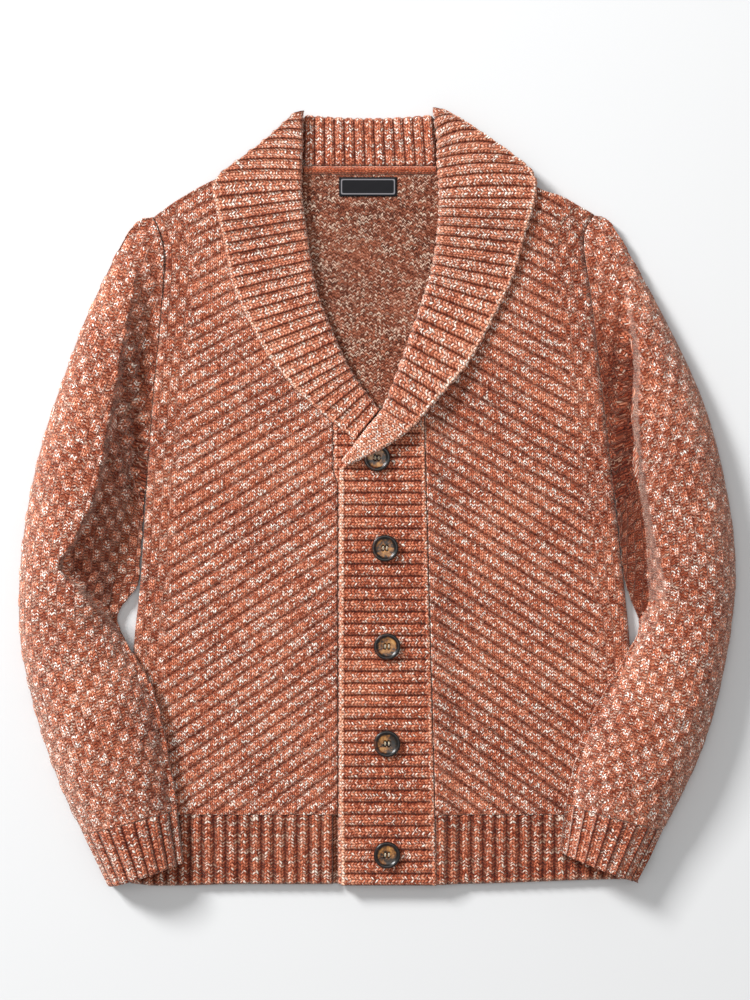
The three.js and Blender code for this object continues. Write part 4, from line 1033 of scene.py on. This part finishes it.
def button(place):
    """A four-hole button turned about its own axis: rounded rim, dished middle, and holes that sink
    as steep cups. Each ring's height is the profile's at its radius."""
    profile_r = np.array([0, 4, 6.6, 8.4, 8.9, 9.6, 10.6, 11.4, 11.9, 12, 11.7, 10.8, 6, 0])
    profile_z = np.array([2.15, 2.2, 2.3, 2.55, 3.1, 3.6, 3.8, 3.6, 2.9, 2.0, 0.9, 0.05, 0, 0])
    run = np.concatenate([[0], np.cumsum(np.hypot(np.diff(profile_r), np.diff(profile_z)))])
    widest, dish_end = run[9], 7
    hole_out, hole_depth, hole_radius, hole_rim = 2.4, 1.9, 0.95, 1.45
    at = np.concatenate([
        np.linspace(0, 5, 18), np.linspace(5.3, widest, 16), np.linspace(widest + 0.6, run[-1], 8),
    ])
    turn = np.linspace(0, 2 * math.pi, 57)[None, :]
    r = np.interp(at, run, profile_r)[:, None]
    r[0], r[-1] = 0, 0
    z = np.interp(at, run, profile_z)[:, None] + 0 * turn
    x, y = r * np.cos(turn), r * np.sin(turn)
    upper = (at < dish_end)[:, None]
    for quarter in range(4):
        angle = math.pi / 4 + quarter * math.pi / 2
        off = np.hypot(x - hole_out * math.cos(angle), y - hole_out * math.sin(angle))
        z = np.where(upper, z - hole_depth * (1 - ease(hole_radius, hole_rim, off)), z)
    cloth = Cloth()
    points = spread(x + place[0], y + place[1], z + BUTTON_LEVEL)
    cloth.grid(points, (x, y), ring=True, poles=True)
    cloth.faces = [unique_corners(face, cloth.same[0]) for face in cloth.faces]
    return cloth


def unique_corners(face, same):
    """A quad whose corners at a pole are one point becomes a triangle."""
    kept, seen = [], set()
    for corner in face:
        if same[corner] not in seen:
            seen.add(same[corner])
            kept.append(corner)
    return kept


def thread(place):
    """Two loops of sewing thread over the middle of a button, each a round cord along a half
    ellipse from hole to hole."""
    cloth = Cloth()
    hole, radius = 1.7, 0.27
    for across in (-hole, hole):
        for strand in (-0.25, 0.25):
            path = np.linspace(0, math.pi, 13)[:, None]
            turn = np.linspace(0, 2 * math.pi, 9)[None, :]
            centre_y, centre_z = -hole * np.cos(path), 1.1 + 1.4 * np.sin(path)
            x = across + strand + radius * np.cos(turn) + 0 * path
            y = centre_y - radius * np.sin(turn) * np.cos(path)
            z = centre_z + radius * np.sin(turn) * np.sin(path)
            points = spread(x + place[0], y + place[1], z + BUTTON_LEVEL)
            numbers = cloth.grid(points, (path * 2, turn), ring=True)
            cloth.cap(numbers, inward=False)
    return cloth


def neck_label():
    """A woven label: a thin plate with soft edges and a slightly raised woven frame, left bare."""
    level = 2 * BACK_WALL + 3 * SEAM_GAP

    def surface(along, across, top):
        x = mix(LABEL["left"], LABEL["right"], across)
        y = mix(LABEL["bottom"], LABEL["top"], along)
        stitches = (across, along)
        if not top:
            return spread(x, y, level + 0 * x * y), stitches, 1.0, 0.0
        from_side = np.minimum(x - LABEL["left"], LABEL["right"] - x)
        inside = np.minimum(from_side, np.minimum(y - LABEL["bottom"], LABEL["top"] - y))
        frame_line = bell(inside - 2.4, 0.5)
        weave = 0.05 * np.sin(x * 9) * np.sin(y * 9)
        height = 0.35 + 0.5 * ease(0, 1, inside) + 0.15 * frame_line + weave
        return spread(x, y, level + height), stitches, 1.0, 0.0

    return flat_panel(surface, 9, 24, 3)


# Materials


class Value:
    """A number at every point of a surface. Signs and methods between values add their nodes."""

    def __init__(self, tree, socket):
        self.tree, self.socket = tree, socket

    def math(self, operation, *others, swapped=False):
        node = self.tree.nodes.new("ShaderNodeMath")
        node.operation = operation
        inputs = [self, *others]
        if swapped:
            inputs.reverse()
        for socket, value in zip(node.inputs, inputs):
            if isinstance(value, Value):
                self.tree.links.new(value.socket, socket)
            else:
                socket.default_value = value
        return Value(self.tree, node.outputs[0])

    def __add__(self, other):
        return self.math("ADD", other)

    def __sub__(self, other):
        return self.math("SUBTRACT", other)

    def __rsub__(self, other):
        return self.math("SUBTRACT", other, swapped=True)

    def __mul__(self, other):
        return self.math("MULTIPLY", other)

    def fraction(self):
        return self.math("FRACT")

    def floor(self):
        return self.math("FLOOR")

    def away_from(self, middle):
        return (self - middle).math("ABSOLUTE")

    def wave(self):
        """|sin(πx)|: a hump between each two whole numbers."""
        return (self * math.pi).math("SINE").math("ABSOLUTE")

    def power(self, exponent):
        return self.math("POWER", exponent)

    def between(self, low, high):
        node = self.tree.nodes.new("ShaderNodeMapRange")
        node.interpolation_type = "SMOOTHSTEP"
        node.inputs["From Min"].default_value = low
        node.inputs["From Max"].default_value = high
        self.tree.links.new(self.socket, node.inputs["Value"])
        return Value(self.tree, node.outputs[0])


def blend_values(a, b, share):
    return a + (b - a) * share


def new_material(name):
    material = bpy.data.materials.new(name)
    material.use_nodes = True
    tree = material.node_tree
    shader = tree.nodes["Principled BSDF"]
    return material, tree, shader


def coordinates(tree, kind="UV"):
    node = tree.nodes.new("ShaderNodeTexCoord")
    parts = tree.nodes.new("ShaderNodeSeparateXYZ")
    tree.links.new(node.outputs[kind], parts.inputs[0])
    return [Value(tree, parts.outputs[i]) for i in range(3)]


def vector_of(tree, x, y, z=0.0):
    node = tree.nodes.new("ShaderNodeCombineXYZ")
    for socket, value in zip(node.inputs, (x, y, z)):
        if isinstance(value, Value):
            tree.links.new(value.socket, socket)
        else:
            socket.default_value = value
    return node.outputs[0]


def noise(tree, vector, scale, detail=2.0, roughness=0.5):
    node = tree.nodes.new("ShaderNodeTexNoise")
    node.inputs["Scale"].default_value = scale
    node.inputs["Detail"].default_value = detail
    node.inputs["Roughness"].default_value = roughness
    tree.links.new(vector, node.inputs["Vector"])
    return Value(tree, node.outputs["Fac"])


def own_number(tree, x, y, z=0.0):
    node = tree.nodes.new("ShaderNodeTexWhiteNoise")
    tree.links.new(vector_of(tree, x, y, z), node.inputs["Vector"])
    return Value(tree, node.outputs["Value"])


def surface_value(tree, name):
    node = tree.nodes.new("ShaderNodeAttribute")
    node.attribute_name = name
    return Value(tree, node.outputs["Fac"])


def ramp(tree, value, stops):
    """A colour ramp of (place, (r, g, b)) stops, linear colours."""
    node = tree.nodes.new("ShaderNodeValToRGB")
    elements = node.color_ramp.elements
    while len(elements) < len(stops):
        elements.new(0.5)
    for element, (place, colour) in zip(elements, stops):
        element.position = place
        element.color = (*colour, 1)
    tree.links.new(value.socket, node.inputs[0])
    return node.outputs["Color"]


def linear(red, green, blue):
    """Linear light from a colour's three 0 to 255 parts as the eye reads them."""
    parts = (red / 255, green / 255, blue / 255)
    return tuple(((v + 0.055) / 1.055) ** 2.4 if v > 0.0405 else v / 12.92 for v in parts)


def shaded(tree, colour, share):
    """A colour darkened to a share, its green and blue a little more than its red, as light that
    bounces about in a warm hollow is."""
    node = tree.nodes.new("ShaderNodeMix")
    node.data_type = "RGBA"
    node.blend_type = "MULTIPLY"
    node.inputs[0].default_value = 1.0
    warm = tree.nodes.new("ShaderNodeCombineColor")
    for socket, exponent in zip(warm.inputs, (0.85, 1.2, 1.4)):
        tree.links.new(share.power(exponent).socket, socket)
    tree.links.new(colour, node.inputs[6])
    tree.links.new(warm.outputs[0], node.inputs[7])
    return node.outputs[2]


def painted(tree, colour, paint, share):
    """A colour turned into another where share is 1."""
    node = tree.nodes.new("ShaderNodeMix")
    node.data_type = "RGBA"
    tree.links.new(share.socket, node.inputs[0])
    tree.links.new(colour, node.inputs[6])
    node.inputs[7].default_value = (*paint, 1)
    return node.outputs[2]


def bump(tree, shader, height, distance, strength):
    node = tree.nodes.new("ShaderNodeBump")
    node.inputs["Distance"].default_value = distance
    node.inputs["Strength"].default_value = strength
    tree.links.new(height.socket, node.inputs["Height"])
    tree.links.new(node.outputs[0], shader.inputs["Normal"])


def marled_knit(name, shades, cream, fleck, shade=1.0, streaks=1.0):
    """Marled yarn knitted up. In each stitch two legs slant up from the middle of the wale, and where
    the cloth shows its back, short bars lie across. A leg shows three turns of its plies, each with
    its own shade of the yarn. fleck is how seldom a ply is cream, which is oftener
    along some courses, by streaks. Gaps between stitches, grooves between ribs and purl are painted
    darker, and low places show fewer cream flecks: painted shade. light paints the colour paler,
    partly painted highlight. shade scales the whole colour, which makes lighter and darker copies
    of the one yarn: painted light and shade."""
    material, tree, shader = new_material(name)
    even_u, even_v, _ = coordinates(tree)
    depth, purl, light = (surface_value(tree, a) for a in ("depth", "purl", "light"))
    u = even_u + (noise(tree, vector_of(tree, even_u, even_v), 0.45) - 0.5) * 0.7
    v = even_v + (noise(tree, vector_of(tree, even_v, even_u, 7), 0.45) - 0.5) * 0.7
    from_middle = u.fraction().away_from(0.5)
    knit_course = v - from_middle * 1.5
    purl_course = v + from_middle * from_middle * 1.6 + (u.floor() * 0.5).fraction()
    course = blend_values(knit_course, purl_course, purl)
    wale = u.floor() + purl * 40
    strand = course.wave()
    leg_hump = blend_values((from_middle * 2).wave(), 1 - from_middle * 0.8, purl)
    turns = course.fraction() * 3 + from_middle * 1.2
    leg = (u * 2).floor() + purl * 80
    ply = own_number(tree, leg, course.floor(), turns.floor())
    stitch = own_number(tree, wale + 0.5, course.floor())
    fibres = noise(tree, vector_of(tree, u * 2.0, course * 5.0), 1.6, 3.0, 0.7).between(0.34, 0.66)
    streak = noise(tree, vector_of(tree, u * 0.13, course.floor() * 0.9), 1.0, 2.0, 0.6)
    cloud = noise(tree, vector_of(tree, u * 0.045, v * 0.05), 1.0, 1.0)
    # light makes the colour paler: partly painted highlight.
    tone = ply * 0.36 + stitch * 0.2 + fibres * 0.42 + (cloud - 0.5) * 0.35 + light * 0.3
    rusty = ramp(tree, tone, [(0.2, shades[0]), (0.4, shades[1]), (0.58, shades[2]), (0.8, shades[3])])
    # Painted shade from here on: low places show fewer cream flecks, and gaps between stitches, low depth
    # and purl darken the colour.
    low = 1 - depth.between(0.1, 0.6)
    paleness = ply + (streak - 0.5) * streaks + (fibres - 0.5) * 0.22 + light * 0.12 - low * 0.12
    yarn = painted(tree, rusty, cream, paleness.between(fleck, fleck + 0.1))
    gaps = (strand.power(0.8) * leg_hump.power(0.6)).between(0.1, 0.8)
    painted_shade = (gaps * 0.76 + 0.24) * (depth.between(0.0, 0.72) * 0.78 + 0.22) * (1 - purl * 0.26) * shade
    tree.links.new(shaded(tree, yarn, painted_shade), shader.inputs["Base Color"])
    twist = turns.wave()
    height = strand.power(0.6) * leg_hump.power(0.5) + twist * 0.14 + fibres * 0.35
    bump(tree, shader, height, 0.0012, 0.8)
    shader.inputs["Roughness"].default_value = 0.9
    shader.inputs["Specular IOR Level"].default_value = 0.2
    shader.inputs["Sheen Weight"].default_value = 0.6
    shader.inputs["Sheen Roughness"].default_value = 0.3
    shader.inputs["Sheen Tint"].default_value = (1.0, 0.8, 0.68, 1)
    return material


def tortoiseshell():
    """Polished resin: a nearly black rim round a dish of amber and brown clouds, whose four holes
    are painted dark as painted shade, with one dark crack from its left edge to its middle. Its tone
    also grows a little darker towards its right."""
    material, tree, shader = new_material("tortoiseshell_resin")
    x, y, _ = coordinates(tree)
    place = tree.nodes.new("ShaderNodeTexCoord").outputs["Object"]
    clouds = noise(tree, place, 150, 3.0, 0.6)
    veins = noise(tree, place, 420, 2.0, 0.5)
    from_centre = (x * x + y * y).power(0.5)
    dish = from_centre.between(9.2, 7.6)
    hole_x, hole_y = x.math("ABSOLUTE") - 1.7, y.math("ABSOLUTE") - 1.7
    hole = (hole_x * hole_x + hole_y * hole_y).power(0.5).between(1.35, 1.0)
    crack = (y - x * 0.45 + (veins - 0.5) * 3.0).math("ABSOLUTE").between(0.9, 0.35) * x.between(0.5, -1.0)
    tone = clouds * 0.75 + veins * 0.25 + dish * 0.1 - 0.13 - x * 0.006
    colour = ramp(tree, tone, [
        (0.3, linear(12, 10, 6)), (0.42, linear(44, 28, 14)), (0.5, linear(118, 74, 32)),
        (0.6, linear(164, 116, 60)), (0.76, linear(196, 156, 100)),
    ])
    rim_tone = dish * 0.8 + 0.2
    # The holes are painted darker: painted shade in them. The rim and the crack are the resin's own dark
    # colour.
    share = rim_tone * (1 - hole * 0.9) * (1 - crack * 0.85)
    tree.links.new(shaded(tree, colour, share), shader.inputs["Base Color"])
    shader.inputs["Roughness"].default_value = 0.3
    shader.inputs["Specular IOR Level"].default_value = 0.4
    shader.inputs["Coat Weight"].default_value = 0.12
    shader.inputs["Coat Roughness"].default_value = 0.2
    return material


def sewing_thread():
    material, tree, shader = new_material("cream_thread")
    u, v, _ = coordinates(tree)
    twist = (u * 3 + v * 0.5).wave()
    # Darker between the twists of the thread: painted shade.
    colour = ramp(tree, twist, [(0.0, linear(150, 130, 105)), (1.0, linear(232, 218, 190))])
    tree.links.new(colour, shader.inputs["Base Color"])
    bump(tree, shader, twist, 0.0002, 0.6)
    shader.inputs["Roughness"].default_value = 0.8
    return material


def woven_label():
    """Dark satin weave with a pale grey woven frame just inside its edge."""
    material, tree, shader = new_material("woven_label")
    u, v, _ = coordinates(tree)
    width, height = LABEL["right"] - LABEL["left"], LABEL["top"] - LABEL["bottom"]
    from_side = 0.5 * width - u.away_from(0.5) * width
    from_end = 0.5 * height - v.away_from(0.5) * height
    inside = from_side.math("SMOOTH_MIN", from_end, 2.5)
    line = inside.away_from(2.3).between(0.75, 0.35)
    weave = (u * width * 2.2).wave() * (v * height * 2.2).wave()
    grain = noise(tree, vector_of(tree, u * width, v * height), 3.0)
    tone = line * 0.8 + weave * 0.12 + (grain - 0.5) * 0.12
    colour = ramp(tree, tone, [
        (0.0, linear(10, 10, 14)), (0.3, linear(20, 20, 27)),
        (0.8, linear(112, 110, 114)), (1.0, linear(140, 138, 140)),
    ])
    tree.links.new(colour, shader.inputs["Base Color"])
    bump(tree, shader, weave + line * 0.6, 0.0002, 0.5)
    shader.inputs["Roughness"].default_value = 0.7
    shader.inputs["Specular IOR Level"].default_value = 0.2
    return material


RUSTS = [linear(104, 42, 26), linear(190, 94, 62), linear(236, 142, 104), linear(255, 206, 176)]
# Lighter shades of the same yarn for the raised collar: painted light.
COLLAR_LIT_RUSTS = [linear(126, 60, 40), linear(206, 116, 84), linear(244, 160, 124), linear(255, 216, 190)]
CREAM = linear(252, 240, 228)
INSIDE_CREAM = linear(246, 226, 208)
PLAIN_CREAM = linear(224, 168, 136)
DARK_RUSTS = [linear(66, 30, 20), linear(136, 74, 52), linear(198, 120, 90), linear(232, 176, 148)]
PLAIN_RUSTS = [linear(150, 66, 42), linear(200, 100, 64), linear(226, 124, 84), linear(244, 154, 114)]

# The copies differ by shade, a scale on the whole colour: lit and shaded copies of one yarn, painted light
# and shade, lighter on the sleeves and darker on the hem. The inside's dark shades are partly the knit's
# back and partly painted shade deep inside the neck.
outside_knit = marled_knit("marled_knit", RUSTS, CREAM, 0.74, 1.2, 0.9)
sleeve_knit = marled_knit("marled_knit_sleeves", RUSTS, CREAM, 0.73, 1.36, 0.9)
collar_knit = marled_knit("marled_knit_collar", COLLAR_LIT_RUSTS, CREAM, 0.74, 1.14, 0.7)
rib_knit = marled_knit("marled_knit_cuffs", RUSTS, CREAM, 0.74, 1.08, 1.3)
hem_knit = marled_knit("marled_knit_hem", RUSTS, CREAM, 0.72, 0.9, 1.8)
band_knit = marled_knit("marled_knit_band", RUSTS, CREAM, 0.82, 1.03, 0.7)
inside_knit = marled_knit("inside_knit", DARK_RUSTS, INSIDE_CREAM, 0.76, 0.98, 1.4)
plain_knit = marled_knit("binding_knit", PLAIN_RUSTS, PLAIN_CREAM, 0.95)
resin = tortoiseshell()
cream_thread = sewing_thread()
label_cloth = woven_label()

# The garment


def sheet(cloth, name, nodes, material, slot):
    """Makes a piece."""
    made = cloth.object(name, material, nodes, slot)


def no_rise(x):
    return 0 * x


KNIT = "marled_knit"
SIDES = {-1: "left", 1: "right"}
label = neck_label().object("neck_label", label_cloth, ["label"], "woven_label")
binding = neck_binding().object("back_neck_roll", plain_knit, ["neck_binding"], "binding_knit")
sheet(
    back_panel(), "back_inside", ["back_panel"], inside_knit, "inside_knit",
)
sheet(
    hem_rib(HEM_LEFT + BACK_HEM_INSET, HEM_RIGHT - BACK_HEM_INSET, 0, no_rise, False),
    "back_hem", ["hem_rib_back"], inside_knit, KNIT,
)
for side, word in SIDES.items():
    sheet(
        front(side), f"{word}_front", [f"front_{word}"], outside_knit, KNIT,
    )
sheet(
    hem_rib(HEM_LEFT, UNDER_BAND_LEFT - SEAM_GAP, LEVEL_1, no_rise, True),
    "left_hem", ["hem_rib_left"], hem_knit, KNIT,
)
sheet(
    hem_rib(float(band_seam_x(HEM_TOP)) + SEAM_GAP, HEM_RIGHT, LEVEL_1, lambda x: climb(x, HEM_TOP), True),
    "right_hem", ["hem_rib_right"], hem_knit, KNIT,
)
for side, word in SIDES.items():
    sheet(
        sleeve(side), f"{word}_sleeve", [f"sleeve_{word}", f"sleeve_{word}_under"], sleeve_knit, KNIT,
    )
for side, word in SIDES.items():
    sheet(
        cuff(side), f"{word}_cuff", [f"cuff_{word}", f"cuff_{word}_under"], rib_knit, KNIT,
    )
sheet(
    under_band(), "under_front_band", ["under_band"], band_knit, KNIT,
)
buttons, threads = [], []
for number, place in enumerate(BUTTON_PLACES, 1):
    buttons.append(button(place).object(f"button_{number}_turned", resin, [f"button_{number}"], "button"))
    threads.append(thread(place).object(f"button_{number}_thread", cream_thread, [], "button"))
sheet(
    button_band(), "button_front_band", ["button_band"], band_knit, KNIT,
)
sheet(
    collar_leaf(LEFT_LEAF, 31, 1.5), "left_collar_leaf", ["collar_left"], collar_knit, KNIT,
)
sheet(
    collar_leaf(RIGHT_LEAF, 35, 4.0), "right_collar_leaf", ["collar_right"], collar_knit, KNIT,
)
sheet(
    collar_back(), "back_collar", ["collar_back"], outside_knit, KNIT,
)

# Floor, light and camera


def floor():
    mesh = bpy.data.meshes.new("floor")
    reach = 4.0
    level = -0.4 * MM
    corners = [(-reach, -reach), (reach, -reach), (reach, reach), (-reach, reach)]
    mesh.from_pydata([(x, y, level) for x, y in corners], [], [(0, 1, 2, 3)])
    material, _, shader = new_material("pale_floor")
    shader.inputs["Base Color"].default_value = (0.61, 0.615, 0.62, 1)
    shader.inputs["Roughness"].default_value = 0.9
    mesh.materials.append(material)
    made = bpy.data.objects.new("floor", mesh)
    bpy.context.scene.collection.objects.link(made)


def area_light(name, place, size, power):
    """A square lamp that shines at the middle of the garment."""
    light = bpy.data.lights.new(name, "AREA")
    light.shape = "SQUARE"
    light.size = size
    light.energy = power
    made = bpy.data.objects.new(name, light)
    made.location = place
    made.rotation_euler = (-made.location).to_track_quat("-Z", "Y").to_euler()
    bpy.context.scene.collection.objects.link(made)


floor()
world = bpy.data.worlds.new("soft_room")
world.use_nodes = True
room = world.node_tree.nodes["Background"]
room.inputs["Color"].default_value = (1.0, 0.995, 0.99, 1)
room.inputs["Strength"].default_value = 0.48
bpy.context.scene.world = world
area_light("window", (-3.3, 2.9, 2.5), 1.2, 430)
area_light("ceiling", (-0.2, 0.3, 2.6), 1.6, 18)
bpy.context.scene.view_settings.view_transform = "Standard"

MM_PER_PIXEL = 0.9
PICTURE_HEIGHT = 1000
PICTURE_MIDDLE = (-1.8, -2.25)
CLOTH_MIDDLE = 10  # the height at which the scale is true
LENS, SENSOR = 85.0, 36.0
camera = bpy.data.cameras.new("camera")
camera.lens = LENS
camera.sensor_width = SENSOR
eye = bpy.data.objects.new("camera", camera)
eye_height = PICTURE_HEIGHT * MM_PER_PIXEL * LENS / SENSOR + CLOTH_MIDDLE
eye.location = (PICTURE_MIDDLE[0] * MM, PICTURE_MIDDLE[1] * MM, eye_height * MM)
eye.rotation_euler = (0, 0, 0)
bpy.context.scene.collection.objects.link(eye)
bpy.context.scene.camera = eye
